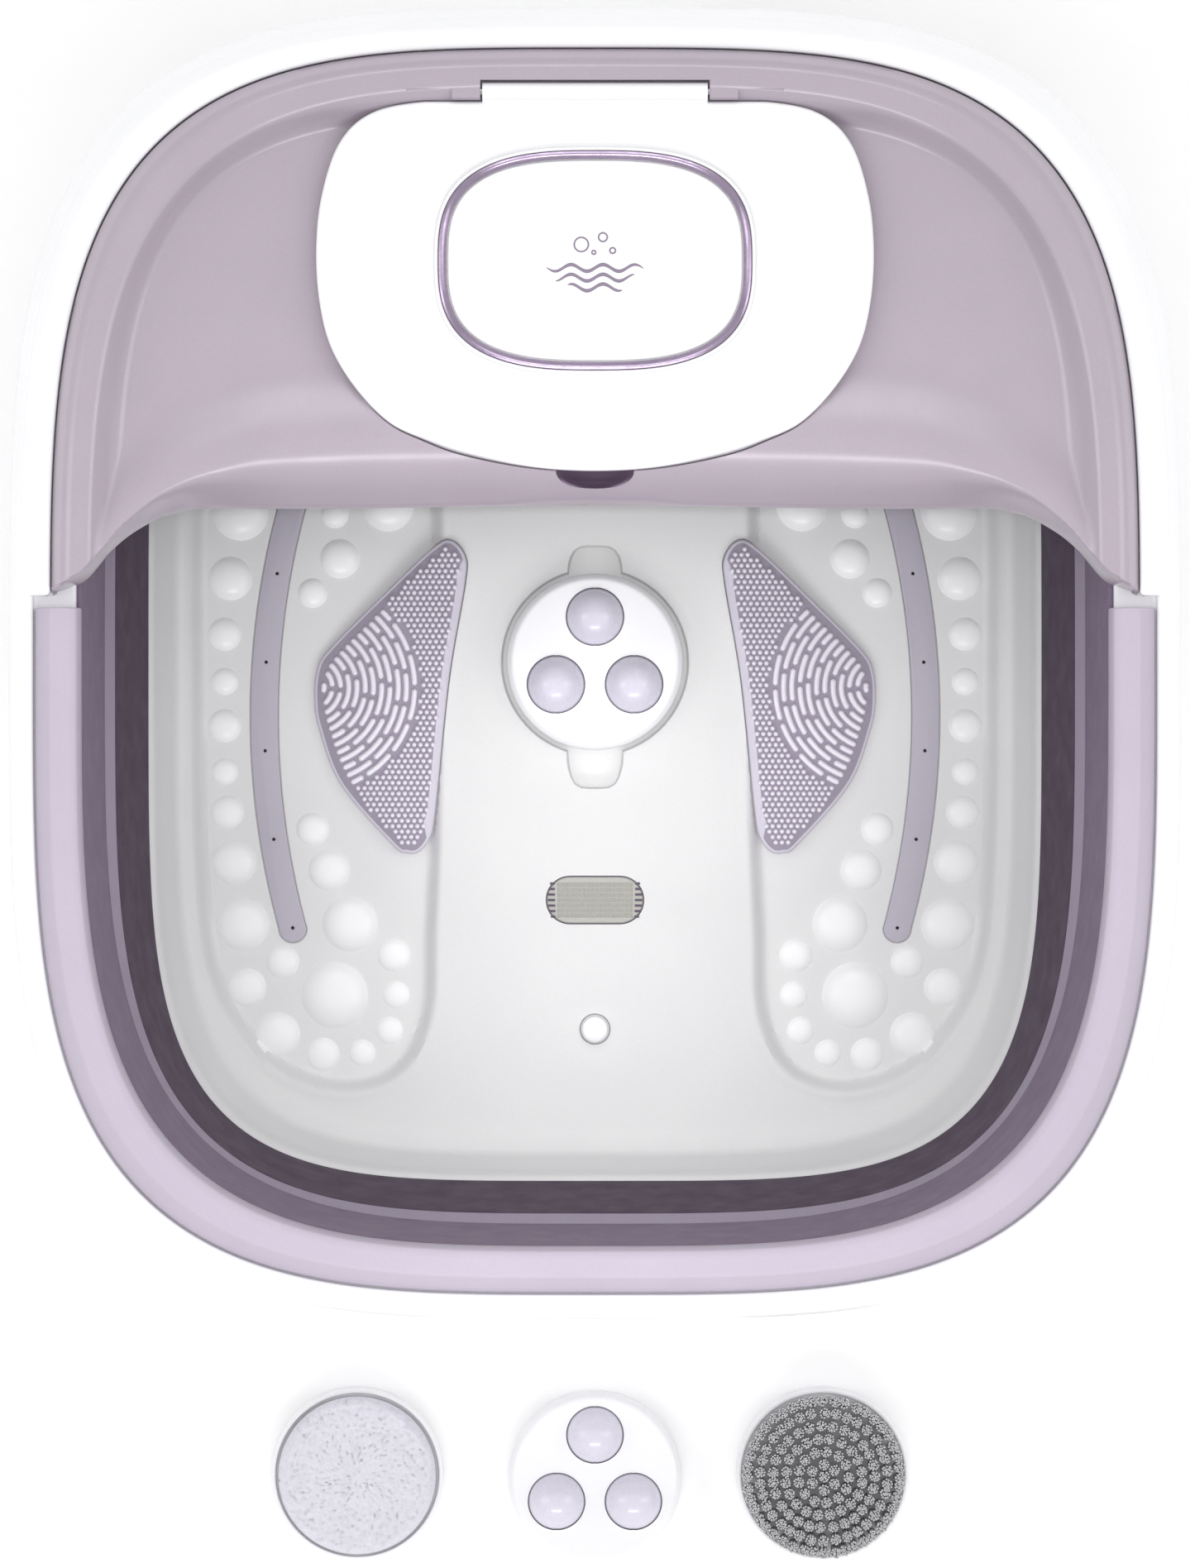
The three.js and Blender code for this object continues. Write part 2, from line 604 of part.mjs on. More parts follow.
function splashGuard() {
  const field = [[-182, 182], [10, 206], [18, 14]];
  const below = between(() => 150, guardTop, ...field);
  const sheet = between((x, y) => guardTop(x, y) - GUARD_THICKNESS, guardTop, ...field);
  const shelfBottom = (x, y) => lidTop(x, y) - LID_THICKNESS - GAP - 3;
  const shelf = between(shelfBottom, () => 230, ...OVER_LID).intersect(extrude(lidShape(3.5), [150, 230]));
  const collar = extrude(trayShape(5), [TRAY_TOP_Z + GAP, 203]);
  const scoopWall = cut(extrude(scoopShape(2), [188, 215]), box([-20, 20], [69, 80], [180, 220]));
  const hinge = box([-47, 47], [181, 192.5], [197, HINGE_BLOCK_Z]);
  const dish = sheet.intersect(extrude(basinShape(163), [150, 230]));
  let guard = join(dish, guardBead(), shelf.intersect(below), collar, scoopWall.intersect(below), hinge);
  guard = guard.intersect(guardPlan());
  const pocket = between((x, y) => lidTop(x, y) - LID_THICKNESS - GAP, () => 230, ...OVER_LID);
  return cut(
    guard,
    pocket.intersect(extrude(lidShape(0.5), [150, 230])),
    extrude(trayShape(0), [150, 230]),
    extrude(scoopShape(0), [190, 230]),
    box([-HINGE.halfWidth - 0.7, HINGE.halfWidth + 0.7], [180, 191.2], [HINGE.z - 3.6, 230]),
    box([-62, 62], [180, 188.4], [HINGE_BLOCK_Z, 230]),
    box([-62, 62], [180, 185.3], [HINGE.z + 1, 230]),
    rodAlongX(HINGE.pinRadius + 0.35, [-45, 45], [HINGE.y, HINGE.z], 12),
  ).simplify(MESH_TOLERANCE);
}

function storageTray() {
  const flange = extrude(trayShape(5), [TRAY_TOP_Z - 2, TRAY_TOP_Z]);
  const tub = extrude(trayShape(2.3), [168, TRAY_TOP_Z]);
  return cut(flange.add(tub), extrude(trayShape(0), [170.2, 210]));
}

function storageLid() {
  const plate = between((x, y) => lidTop(x, y) - LID_THICKNESS, lidTop, ...OVER_LID);
  const lid = plate.intersect(extrude(lidShape(0), [150, 230]));
  const tongue = box([-HINGE.halfWidth, HINGE.halfWidth], [183, HINGE.y], [LID_TOP_Z - LID_THICKNESS, LID_TOP_Z]);
  const knuckle = rodAlongX(HINGE.knuckleRadius, [-HINGE.halfWidth, HINGE.halfWidth], [HINGE.y, HINGE.z], 16);
  const bore = rodAlongX(HINGE.boreRadius, [-50, 50], [HINGE.y, HINGE.z], 12);
  return cut(join(lid, tongue, knuckle), bore);
}

const hingePin = () => rodAlongX(HINGE.pinRadius, [-44.5, 44.5], [HINGE.y, HINGE.z], 12);

function medallionRing() {
  const height = [LID_TOP_Z + GAP, LID_TOP_Z + 2.2];
  const outer = extrude(roundedShape([52.8, 37.3], 2.8, 28, [0, MEDALLION_Y]), height);
  return cut(outer, extrude(roundedShape([48.8, 33.3], 2.8, 28, [0, MEDALLION_Y]), [200, 215]));
}

const medallionPlate = () => extrude(
  roundedShape([48.4, 32.9], 2.8, 28, [0, MEDALLION_Y]), [LID_TOP_Z + GAP, LID_TOP_Z + 1.4]);

// ---- treatment heads ------------------------------------------------------------------------

function ballPlaces() {
  return [90, 210, 330].map((degrees) => {
    const angle = THREE.MathUtils.degToRad(degrees);
    return [BALL_RING * Math.cos(angle), BALL_RING * Math.sin(angle), BALL_Z];
  });
}

// The seats of the balls: wide at the middle, with a mouth a little smaller than a ball.
function ballSeats() {
  const seat = [[0, 2.3], [6.5, 3.4], [11, 9.2], [11, 13.4], [10.3, 16.2], [0, 16.2]];
  return ballPlaces().map(([x, y]) => turned(seat, 10, [x, y]));
}

// Both halves of the roller head close around the balls a little past their middle.
function rollerBase() {
  return cut(turned([[0, 0], [29, 0], [HEAD_RADIUS, 1.5], [HEAD_RADIUS, 8], [0, 8]], 28), ...ballSeats());
}

function rollerCover() {
  const profile = [[0, 8 + GAP], [HEAD_RADIUS, 8 + GAP], [HEAD_RADIUS, 14], [28.6, 16], [0, 16]];
  return cut(turned(profile, 28), ...ballSeats());
}

const rollerBall = () => sphere(BALL_RADIUS, [0, 0, 0], 12, 8);

function addRollerHead(parent, prefix, [x, y, z]) {
  const head = new THREE.Group();
  head.position.set(x, y, z);
  parent.add(head);
  add(head, `${prefix}_base`, rollerBase(), white);
  add(head, `${prefix}_cover`, rollerCover(), white);
  ballPlaces().forEach((place, i) => add(head, `${prefix}_ball_${i + 1}`, rollerBall(), ballPlastic, place));
}

const headHolder = () => turned([
  [0, 0], [29, 0], [HEAD_RADIUS, 1.5], [HEAD_RADIUS, 11.5], [29.4, 12.5], [28.6, 12.5], [28.6, 9], [0, 9],
], 28);

const pumiceDisc = () => turned([
  [0, 9 + GAP], [27.6, 9 + GAP], [27.6, 15.8], [25.4, 17.8], [0, 18.6],
], 28);

const bristleBlock = () => turned([[0, 9 + GAP], [27, 9 + GAP], [28.4, 24], [0, 24]], 28);

// ---- the assembly ---------------------------------------------------------------------------

const footSpa = new THREE.Group();
const basin = new THREE.Group();
basin.position.set(0, BASIN_Y, 0);
footSpa.add(basin);

const SIDES = [['left', -1], ['right', 1]];

function addBase() {
  add(basin, 'base_shell', baseShell(), white);
  add(basin, 'base_plate', basePlate(), darkPlastic);
  FOOT_PLACES.forEach(([x, y], i) => add(basin, `rubber_foot_${i + 1}`, rubberFoot(), blackRubber, [x, y, 0]));
  SCREW_PLACES.forEach(([x, y], i) => add(basin, `base_screw_${i + 1}`, baseScrew(), steel, [x, y, 0]));
  add(basin, 'tub_pan', tubPan(), white);
  add(basin, 'bellows_wall', bellowsWall(), purpleRubber);
  for (const [name, side] of SIDES) {
    add(basin, `bubble_strip_${name}`, sided(bubbleStrip, side), paleSilicone);
    add(basin, `arch_scrubber_${name}`, sided(archScrubber, side), paleSilicone);
    add(basin, `air_hose_${name}`, sided(airHose, side), clearPlastic);
  }
  add(basin, 'light_lens', lightLens(), clearPlastic);
  add(basin, 'light_housing', lightHousing(), darkPlastic);
  add(basin, 'light_board', lightBoard(), circuitGreen);
  add(basin, 'toe_switch', toeSwitch(), darkPlastic);
  add(basin, 'toe_button', toeButton(), white, [0, TOE_Y, CONSOLE_Z]);
  add(basin, 'cord_gland', cordGland(), blackRubber);
}

function addWorks() {
  add(basin, 'blower_housing', blowerHousing(), darkPlastic);
  add(basin, 'blower_impeller', blowerImpeller(), white, [0, BLOWER_Y, 0]);
  add(basin, 'blower_motor', blowerMotor(), steel);
  add(basin, 'vibration_motor', vibrationMotor(), steel);
  add(basin, 'motor_shaft', motorShaft(), steel, [0, MOTOR.y, MOTOR.z]);
  add(basin, 'eccentric_weight', eccentricWeight(), steel, [0, MOTOR.y, MOTOR.z]);
  add(basin, 'motor_bracket', motorBracket(), darkPlastic);
  add(basin, 'heater_plate', heaterPlate(), steel);
  add(basin, 'thermostat', thermostat(), darkPlastic);
  add(basin, 'control_board', controlBoard(), circuitGreen);
}

function addUpper() {
  add(basin, 'upper_shell', upperShell(), white);
  add(basin, 'rim_liner', rimLiner(), lavender);
  add(basin, 'splash_guard', splashGuard(), lavender);
  add(basin, 'storage_tray', storageTray(), white);
  add(basin, 'storage_lid', storageLid(), white);
  add(basin, 'lid_hinge_pin', hingePin(), steel);
  add(basin, 'medallion_ring', medallionRing(), metallicLavender);
  add(basin, 'medallion_plate', medallionPlate(), white);
}

function addHeads() {
  addRollerHead(basin, 'docked_roller', [0, DOCK_Y, BED_Z + GAP]);
  addRollerHead(basin, 'loose_roller', [...HEAD_ROW.roller, 0]);
  add(basin, 'pumice_holder', headHolder(), white, [...HEAD_ROW.pumice, 0]);
  add(basin, 'pumice_stone', pumiceDisc(), pumiceStone, [...HEAD_ROW.pumice, 0]);
  add(basin, 'brush_holder', headHolder(), white, [...HEAD_ROW.brush, 0]);
  add(basin, 'brush_bristles', bristleBlock(), bristleGrey, [...HEAD_ROW.brush, 0]);
}

addBase();
addWorks();
addUpper();
addHeads();

export default footSpa;
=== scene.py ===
# Looks of a collapsible foot spa basin and its treatment heads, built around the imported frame.
# Shapes are worked out in millimetres from the middle of the basin, and placed in metres.

import json
import math

import bmesh
import bpy
import numpy as np
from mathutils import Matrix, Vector, noise


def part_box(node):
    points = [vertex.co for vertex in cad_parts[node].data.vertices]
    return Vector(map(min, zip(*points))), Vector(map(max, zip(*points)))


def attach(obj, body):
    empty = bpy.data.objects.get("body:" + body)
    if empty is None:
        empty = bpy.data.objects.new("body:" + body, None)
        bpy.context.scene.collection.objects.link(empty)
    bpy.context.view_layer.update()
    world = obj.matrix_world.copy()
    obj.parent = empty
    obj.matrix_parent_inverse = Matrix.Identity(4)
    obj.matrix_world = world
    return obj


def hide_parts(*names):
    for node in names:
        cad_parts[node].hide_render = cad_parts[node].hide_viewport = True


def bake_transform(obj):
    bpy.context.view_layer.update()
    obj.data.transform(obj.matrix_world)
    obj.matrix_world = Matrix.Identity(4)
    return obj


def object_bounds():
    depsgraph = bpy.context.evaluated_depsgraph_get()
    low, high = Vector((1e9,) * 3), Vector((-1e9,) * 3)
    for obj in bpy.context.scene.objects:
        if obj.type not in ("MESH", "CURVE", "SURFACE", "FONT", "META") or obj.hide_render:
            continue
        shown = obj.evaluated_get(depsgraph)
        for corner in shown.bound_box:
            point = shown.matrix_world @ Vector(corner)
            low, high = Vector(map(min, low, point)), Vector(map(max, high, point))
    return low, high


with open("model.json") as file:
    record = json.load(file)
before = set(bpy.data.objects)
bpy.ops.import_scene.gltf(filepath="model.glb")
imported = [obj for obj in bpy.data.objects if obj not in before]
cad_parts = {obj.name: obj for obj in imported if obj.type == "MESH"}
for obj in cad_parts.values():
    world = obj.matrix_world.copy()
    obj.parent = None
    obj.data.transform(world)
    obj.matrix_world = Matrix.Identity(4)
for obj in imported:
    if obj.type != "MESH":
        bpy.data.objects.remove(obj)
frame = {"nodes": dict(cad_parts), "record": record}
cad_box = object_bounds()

MM = 0.001


def middle(node):
    low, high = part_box(node)
    return (low + high) / 2


def top_of(node):
    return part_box(node)[1].z / MM


def bottom_of(node):
    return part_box(node)[0].z / MM


def place_of(node):
    """The middle of a node in plan, in millimetres from the middle of the basin."""
    at = (middle(node) - BASIN) / MM
    return at.x, at.y


BASIN = Vector((0, middle("bellows_wall").y, 0))

# ---- driving dimensions, in millimetres ----

LENGTH_EXTRA = 23          # every ring is this much longer than wide, half against half
RING_CORE = 100            # inside this half width the extra length shrinks with the ring
SPLIT_Y = 20               # the liner is in front of this line, the guard behind it
LEDGE_Z = 195.5
CONSOLE_Z = 60
BED_Z = 54
PAN_UNDER_Z = bottom_of("bellows_wall") - 29.6
LID_TOP_Z = top_of("lid_hinge_pin") - 1.3
HINGE_Y = 187.6
TONGUE_HALF = 37
DOCK_X, DOCK_Y = place_of("docked_roller_base")
LENS_X, LENS_Y = place_of("light_lens")
TOE_X, TOE_Y = place_of("toe_button")
MEDALLION_Y = place_of("medallion_plate")[1]
TRAY_Y = place_of("storage_tray")[1]
HEAD_RADIUS = 30.25
BALL_RADIUS = 10.1
BALL_RING = 15.5           # the balls' middles lie on this radius
BALL_Z = 12.9
BALL_GAP = 0.45            # round each ball, in its socket
FIT = 0.4                  # clearance between a piece and its seat
PAN_TOOL_TOP = 90          # cutting tools for the pan end here, above its floor
TOOL_TOP = 230             # cutting tools for the rim and the guard end here, above everything
FULL_TURN = 2 * math.pi

# ---- materials ----


def linear(red, green, blue):
    """A colour given as 0 to 255 screen values, as linear light."""
    shares = (red / 255, green / 255, blue / 255)
    return tuple(((c + 0.055) / 1.055) ** 2.4 if c > 10 / 255 else c / 12.92 for c in shares)


class Look:
    """A procedural material: a principled shader with colour, roughness and bump from noise."""

    def __init__(self, name, colour, roughness, **sockets):
        self.name = name
        self.material = bpy.data.materials.new(name)
        self.material.use_nodes = True
        self.tree = self.material.node_tree
        self.shader = self.tree.nodes["Principled BSDF"]
        self.shader.inputs["Base Color"].default_value = (*linear(*colour), 1)
        self.shader.inputs["Roughness"].default_value = roughness
        for socket, value in sockets.items():
            self.shader.inputs[socket.replace("_", " ")].default_value = value
        self.coordinates = self.node("ShaderNodeTexCoord").outputs["Object"]
        self.height = None

    def node(self, kind, **settings):
        made = self.tree.nodes.new(kind)
        for key, value in settings.items():
            if key in made.inputs:
                made.inputs[key].default_value = value
            else:
                setattr(made, key, value)
        return made

    def link(self, source, target):
        self.tree.links.new(source, target)

    def noise(self, size, detail=3, roughness=0.55):
        """Noise whose lumps are about size millimetres across."""
        made = self.node("ShaderNodeTexNoise", Scale=1 / (size * MM), Detail=detail, Roughness=roughness)
        self.link(self.coordinates, made.inputs["Vector"])
        return made.outputs["Fac"]

    def spread(self, factor, low, high):
        """Stretches the middle of a noise's values, 0.3 to 0.7, to low and high."""
        made = self.node("ShaderNodeMapRange")
        for socket, value in zip(("From Min", "From Max", "To Min", "To Max"), (0.3, 0.7, low, high)):
            made.inputs[socket].default_value = value
        self.link(factor, made.inputs["Value"])
        return made.outputs["Result"]

    def tint(self, factor, colour, share):
        """Mixes another colour in where factor is high."""
        mix = self.node("ShaderNodeMix", data_type="RGBA")
        before = self.shader.inputs["Base Color"]
        if before.is_linked:
            self.link(before.links[0].from_socket, mix.inputs[6])
        else:
            mix.inputs[6].default_value = before.default_value
        mix.inputs[7].default_value = (*linear(*colour), 1)
        self.link(self.spread(factor, 0, share), mix.inputs[0])
        self.link(mix.outputs[2], before)

    def vary_roughness(self, factor, low, high):
        self.link(self.spread(factor, low, high), self.shader.inputs["Roughness"])

    def bump(self, factor, depth, strength=1.0):
        """Bumps of about depth millimetres."""
        made = self.node("ShaderNodeBump", Strength=strength, Distance=depth * MM)
        self.link(factor, made.inputs["Height"])
        if self.height is not None:
            self.link(self.height, made.inputs["Normal"])
        self.height = made.outputs["Normal"]
        self.link(self.height, self.shader.inputs["Normal"])


def moulded(name, colour, roughness, speck, grain=0.5, depth=0.012, **sockets):
    """Moulded plastic or rubber: fine grain, faint flow clouds and uneven gloss."""
    look = Look(name, colour, roughness, **sockets)
    fine = look.noise(grain)
    clouds = look.noise(28, detail=2)
    look.tint(fine, speck, 0.35)
    look.tint(clouds, speck, 0.2)
    look.vary_roughness(look.noise(9), roughness - 0.06, roughness + 0.08)
    look.bump(fine, depth)
    look.bump(look.noise(16, detail=1), depth * 3, 0.4)
    return look


def brushed(name, colour, roughness):
    """Metal with a fine grain and patches of a darker tint."""
    look = Look(name, colour, roughness, Metallic=1.0)
    fine = look.noise(0.35, detail=5)
    look.vary_roughness(look.noise(4), roughness - 0.08, roughness + 0.12)
    look.tint(look.noise(11), tuple(int(c * 0.8) for c in colour), 0.4)
    look.bump(fine, 0.01)
    return look


WHITE = moulded("white_plastic", (244, 244, 246), 0.36, (232, 232, 236), Coat_Weight=0.15)
PAN_WHITE = moulded("pan_plastic", (223, 223, 223), 0.42, (212, 212, 213), grain=0.7)
# The nodes are the pan's own plastic; this whiter copy is painted highlight on the raised domes.
NODE_LIT = moulded("node_plastic_painted_highlight", (246, 246, 246), 0.34, (240, 240, 242), grain=0.7, Coat_Weight=0.3)
LAVENDER = moulded("lavender_plastic", (174, 163, 175), 0.34, (160, 148, 162), grain=0.55, depth=0.015,
                   Coat_Weight=0.9, Coat_Roughness=0.22)
LINER = moulded("liner_plastic", (189, 180, 195), 0.46, (174, 163, 180), grain=0.55, depth=0.015)
PURPLE = moulded("purple_rubber", (125, 109, 132), 0.62, (109, 94, 116), grain=0.8, depth=0.03)
# Darker and lighter copies of the folding wall's rubber: painted shade on its lower wall, painted highlight
# on its step.
PURPLE_SHADED = moulded("purple_rubber_painted_shade", (72, 53, 76), 0.66, (58, 42, 62), grain=0.8, depth=0.03)
PURPLE_LIT = moulded("purple_rubber_step_painted_highlight", (158, 149, 166), 0.55, (140, 130, 148), grain=0.8, depth=0.03)
# The finger scoop is a recess in the guard; its darker purple is painted shade.
SCOOP_SHADE = moulded("scoop_painted_shade", (122, 103, 126), 0.5, (84, 70, 88), grain=0.6)
SILICONE = moulded("pale_silicone", (208, 204, 215), 0.55, (190, 185, 200), grain=0.45, depth=0.015)
# Darker and lighter copies of the pad's silicone: painted shade on the floor between the ridges, painted
# highlight on the ridges and nubs.
SILICONE_SHADED = moulded("silicone_painted_shade", (156, 149, 163), 0.6, (138, 130, 146), grain=0.45)
SILICONE_LIT = moulded("silicone_painted_highlight", (238, 235, 243), 0.4, (222, 218, 230), grain=0.45)
STRIP = moulded("strip_plastic", (188, 184, 195), 0.5, (174, 169, 183), grain=0.45)
BRISTLE_BED = moulded("bristle_bed", (206, 206, 208), 0.7, (188, 188, 190), grain=0.6)
BALL = moulded("ball_plastic", (220, 216, 229), 0.24, (206, 202, 217), grain=1.2, depth=0.004,
               Coat_Weight=0.4)
METAL = brushed("metallic_lavender", (176, 160, 184), 0.2)
MARK = moulded("mark_ink", (142, 130, 148), 0.5, (128, 116, 136))
SHADOW_GROOVE = moulded("shadow_groove", (96, 86, 100), 0.6, (84, 74, 90))
BLACK = moulded("black_rubber", (38, 38, 40), 0.8, (56, 56, 58), grain=0.9, depth=0.04)
DARK = moulded("dark_plastic", (56, 56, 60), 0.55, (44, 44, 48), grain=0.8, depth=0.03)
STEEL = brushed("steel", (188, 189, 192), 0.32)
ALUMINIUM = brushed("aluminium_plate", (206, 207, 209), 0.4)
CIRCUIT = moulded("circuit_board", (42, 104, 66), 0.45, (30, 82, 50), grain=2.0, depth=0.05)


def stone_look():
    look = Look("pumice", (226, 224, 232), 0.95)
    look.tint(look.noise(1.1, detail=6), (196, 194, 206), 0.5)
    look.tint(look.noise(7), (206, 204, 214), 0.35)
    look.bump(look.noise(0.5, detail=6, roughness=0.7), 0.12)
    return look


def bristle_look():
    look = Look("bristle", (214, 214, 216), 0.8)
    look.tint(look.noise(0.6, detail=2), (130, 130, 133), 0.7)
    look.tint(look.noise(2.6), (212, 212, 214), 0.4)
    look.bump(look.noise(0.3), 0.05)
    return look


def clear_look():
    look = Look("clear_plastic", (180, 179, 173), 0.2, IOR=1.49, Coat_Weight=0.5)
    look.tint(look.noise(1.3), (170, 170, 164), 0.5)
    look.vary_roughness(look.noise(0.8), 0.08, 0.3)
    look.bump(look.noise(0.7), 0.03)
    return look


PUMICE = stone_look()
BRISTLE = bristle_look()
CLEAR = clear_look()
FLOOR = moulded("studio_floor", (254, 254, 254), 0.9, (252, 252, 252), grain=4)

NODE_LOOKS = {look.name: look for look in (WHITE, LAVENDER, METAL, PURPLE, SILICONE, BALL, CLEAR, BLACK,
                                           DARK, STEEL, ALUMINIUM, CIRCUIT, PUMICE, BRISTLE)}

# ---- shapes: a shape is (points, faces), in millimetres ----


def circle(count):
    """Evenly spaced angles round a full turn."""
    return np.linspace(0, FULL_TURN, count, endpoint=False)


def length_along(x, y):
    """The distance run along a line of points, at each of them."""
    return np.concatenate([[0], np.cumsum(np.hypot(np.diff(x), np.diff(y)))])


def merge(*shapes):
    """Several shapes as one, with nothing joined."""
    points, faces, start = [], [], 0
    for some_points, some_faces in shapes:
        points.append(np.asarray(some_points, float).reshape(-1, 3))
        faces += [[i + start for i in face] for face in some_faces]
        start += len(points[-1])
    return np.concatenate(points), faces


def net(rows, closed_rows=False, capped=True):
    """A surface over rows of points that each close on themselves. Open ends get a flat cap."""
    rows = np.asarray(rows, float)
    count, around = rows.shape[:2]
    steps = count if closed_rows else count - 1
    i = np.arange(steps)[:, None]
    j = np.arange(around)[None, :]
    after, right = (i + 1) % count, (j + 1) % around
    faces = np.stack([i * around + j, i * around + right, after * around + right, after * around + j], -1)
    faces = faces.reshape(-1, 4).tolist()
    if capped and not closed_rows:
        faces.append(list(range(around))[::-1])
        faces.append([(count - 1) * around + k for k in range(around)])
    return rows.reshape(-1, 3), faces


def ease(x, low, high):
    t = np.clip((np.asarray(x, float) - low) / (high - low), 0, 1)
    return t * t * (3 - 2 * t)


def rounded(outline, radius, steps=4, closed=True):
    """The corners of a polygon, each replaced by a small curve that starts radius away."""
    outline = [np.asarray(p, float) for p in outline]
    made = []
    count = len(outline)
    for i, corner in enumerate(outline):
        if not closed and i in (0, count - 1):
            made.append(corner)
            continue
        before, after = outline[i - 1] - corner, outline[(i + 1) % count] - corner
        for_before = min(radius, np.linalg.norm(before) * 0.45)
        for_after = min(radius, np.linalg.norm(after) * 0.45)
        a = corner + before / np.linalg.norm(before) * for_before
        b = corner + after / np.linalg.norm(after) * for_after
        for t in np.linspace(0, 1, steps + 1):
            made.append((1 - t) ** 2 * a + 2 * t * (1 - t) * corner + t * t * b)
    return np.array(made)


def smooth_loop(points, count):
    """A closed Catmull-Rom curve through the points, evenly spaced."""
    points = np.asarray(points, float)
    before, after, far = np.roll(points, 1, 0), np.roll(points, -1, 0), np.roll(points, -2, 0)
    t = np.linspace(0, 1, 24, endpoint=False)[None, :, None]
    p0, p1, p2, p3 = (p[:, None, :] for p in (before, points, after, far))
    curve = 0.5 * (2 * p1 + (p2 - p0) * t + (2 * p0 - 5 * p1 + 4 * p2 - p3) * t ** 2
                   + (3 * p1 - p0 - 3 * p2 + p3) * t ** 3)
    return even(curve.reshape(-1, points.shape[1]), count)


def even(loop, count):
    """A closed loop resampled to evenly spaced points."""
    closed = np.vstack([loop, loop[:1]])
    run = np.concatenate([[0], np.cumsum(np.linalg.norm(np.diff(closed, axis=0), axis=1))])
    at = np.linspace(0, run[-1], count, endpoint=False)
    return np.stack([np.interp(at, run, closed[:, k]) for k in range(loop.shape[1])], 1)


def area(outline):
    x, y = outline[:, 0], outline[:, 1]
    return 0.5 * float(np.sum(x * np.roll(y, -1) - y * np.roll(x, -1)))


def inset(outline, distance):
    """A closed outline moved inwards along its own normals."""
    along = np.roll(outline, -1, 0) - np.roll(outline, 1, 0)
    along /= np.maximum(np.linalg.norm(along, axis=1, keepdims=True), 1e-9)
    inwards = np.stack([-along[:, 1], along[:, 0]], 1) * (1 if area(outline) > 0 else -1)
    return outline + inwards * distance


def lifted(outline, z):
    height = np.broadcast_to(np.asarray(z, float), (len(outline),))
    return np.column_stack([outline, height])


def prism(outline, low, high):
    """A straight-sided solid over an outline."""
    return net([lifted(outline, low), lifted(outline, high)])


def pillow(outline, rows, closed_rows=False):
    """A solid from one outline and (inset, z) rows, which may close on themselves to make a ring."""
    return net([lifted(inset(outline, distance), z) for distance, z in rows], closed_rows)


def turned(profile, segments=64, centre=(0, 0)):
    """A turned solid from (radius, z) pairs, closed by flat caps at both ends."""
    angle = circle(segments)
    rows = [np.column_stack([centre[0] + r * np.cos(angle), centre[1] + r * np.sin(angle),
                             np.full(segments, z)]) for r, z in profile]
    return net(rows)


def block(x, y, z):
    corners = np.array([(x[0], y[0]), (x[1], y[0]), (x[1], y[1]), (x[0], y[1])], float)
    return prism(corners, *z)


def oval(half, power, count, centre=(0, 0)):
    """A rounded rectangle (superellipse) with evenly spaced points."""
    t = circle(4000)
    x = half[0] * np.sign(np.cos(t)) * np.abs(np.cos(t)) ** (2 / power)
    y = half[1] * np.sign(np.sin(t)) * np.abs(np.sin(t)) ** (2 / power)
    return even(np.column_stack([x, y]), count) + np.array(centre)


# ---- objects ----


def outwards(mesh, angle=None):
    """Turns the faces outwards. An angle in degrees also shades them smooth, up to that crease."""
    edit = bmesh.new()
    edit.from_mesh(mesh)
    bmesh.ops.recalc_face_normals(edit, faces=edit.faces)
    if angle is not None:
        for face in edit.faces:
            face.smooth = True
        for edge in edit.edges:
            edge.smooth = len(edge.link_faces) == 2 and edge.calc_face_angle(0) < math.radians(angle)
    edit.to_mesh(mesh)
    edit.free()


def loose_object(name, shape):
    """An object from a shape, in its place, that doesn't ride on the frame yet."""
    points, faces = shape
    mesh = bpy.data.meshes.new(name)
    placed = np.asarray(points, float) * MM + np.array(BASIN)
    mesh.from_pydata(placed.tolist(), [], faces)
    made = bpy.data.objects.new(name, mesh)
    bpy.context.scene.collection.objects.link(made)
    return made


def carve(made, tool, operation="DIFFERENCE"):
    """Cuts a shape away from an object, or joins it on."""
    other = loose_object("tool", tool)
    for one in (made, other):
        outwards(one.data)
    modifier = made.modifiers.new("carve", "BOOLEAN")
    modifier.operation = operation
    modifier.solver = "MANIFOLD"
    modifier.object = other
    bpy.context.view_layer.update()
    graph = bpy.context.evaluated_depsgraph_get()
    result = bpy.data.meshes.new_from_object(made.evaluated_get(graph))
    made.modifiers.clear()
    if len(result.polygons) < 4:
        raise RuntimeError(f"carving {made.name} left nothing")
    made.data = result
    bpy.data.objects.remove(other)


def set_looks(made, *looks):
    """Replaces the object's materials, and puts every face on the first of them."""
    made.data.materials.clear()
    for look in looks:
        made.data.materials.append(look.material)


def in_basin(vectors):
    """Mesh coordinates as millimetres from the middle of the basin."""
    return (np.array(vectors) - np.array(BASIN)) / MM


def piece(made, body, look, nodes=(), angle=32):
    """Finishes an object: its looks (one or a list), its shading, and its place in the frame."""
    set_looks(made, *(look if isinstance(look, list) else [look]))
    outwards(made.data, angle)
    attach(made, body)
    if nodes:
        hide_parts(*nodes)
    return made


def build(name, shape, body, look, nodes=(), angle=32):
    return piece(loose_object(name, shape), body, look, nodes, angle)


# ---- the basin's rounded-rectangle rings ----


def squareness(half_width):
    """The superellipse power of a ring: 4.3 up to the pan's edge, 3.6 from 12 mm outside it."""
    wide = np.clip((np.asarray(half_width, float) - 153) / 12, 0, 1)
    return 4.3 - 0.7 * wide


def half_length(half_width):
    return half_width + LENGTH_EXTRA * np.minimum(1, np.asarray(half_width, float) / RING_CORE)


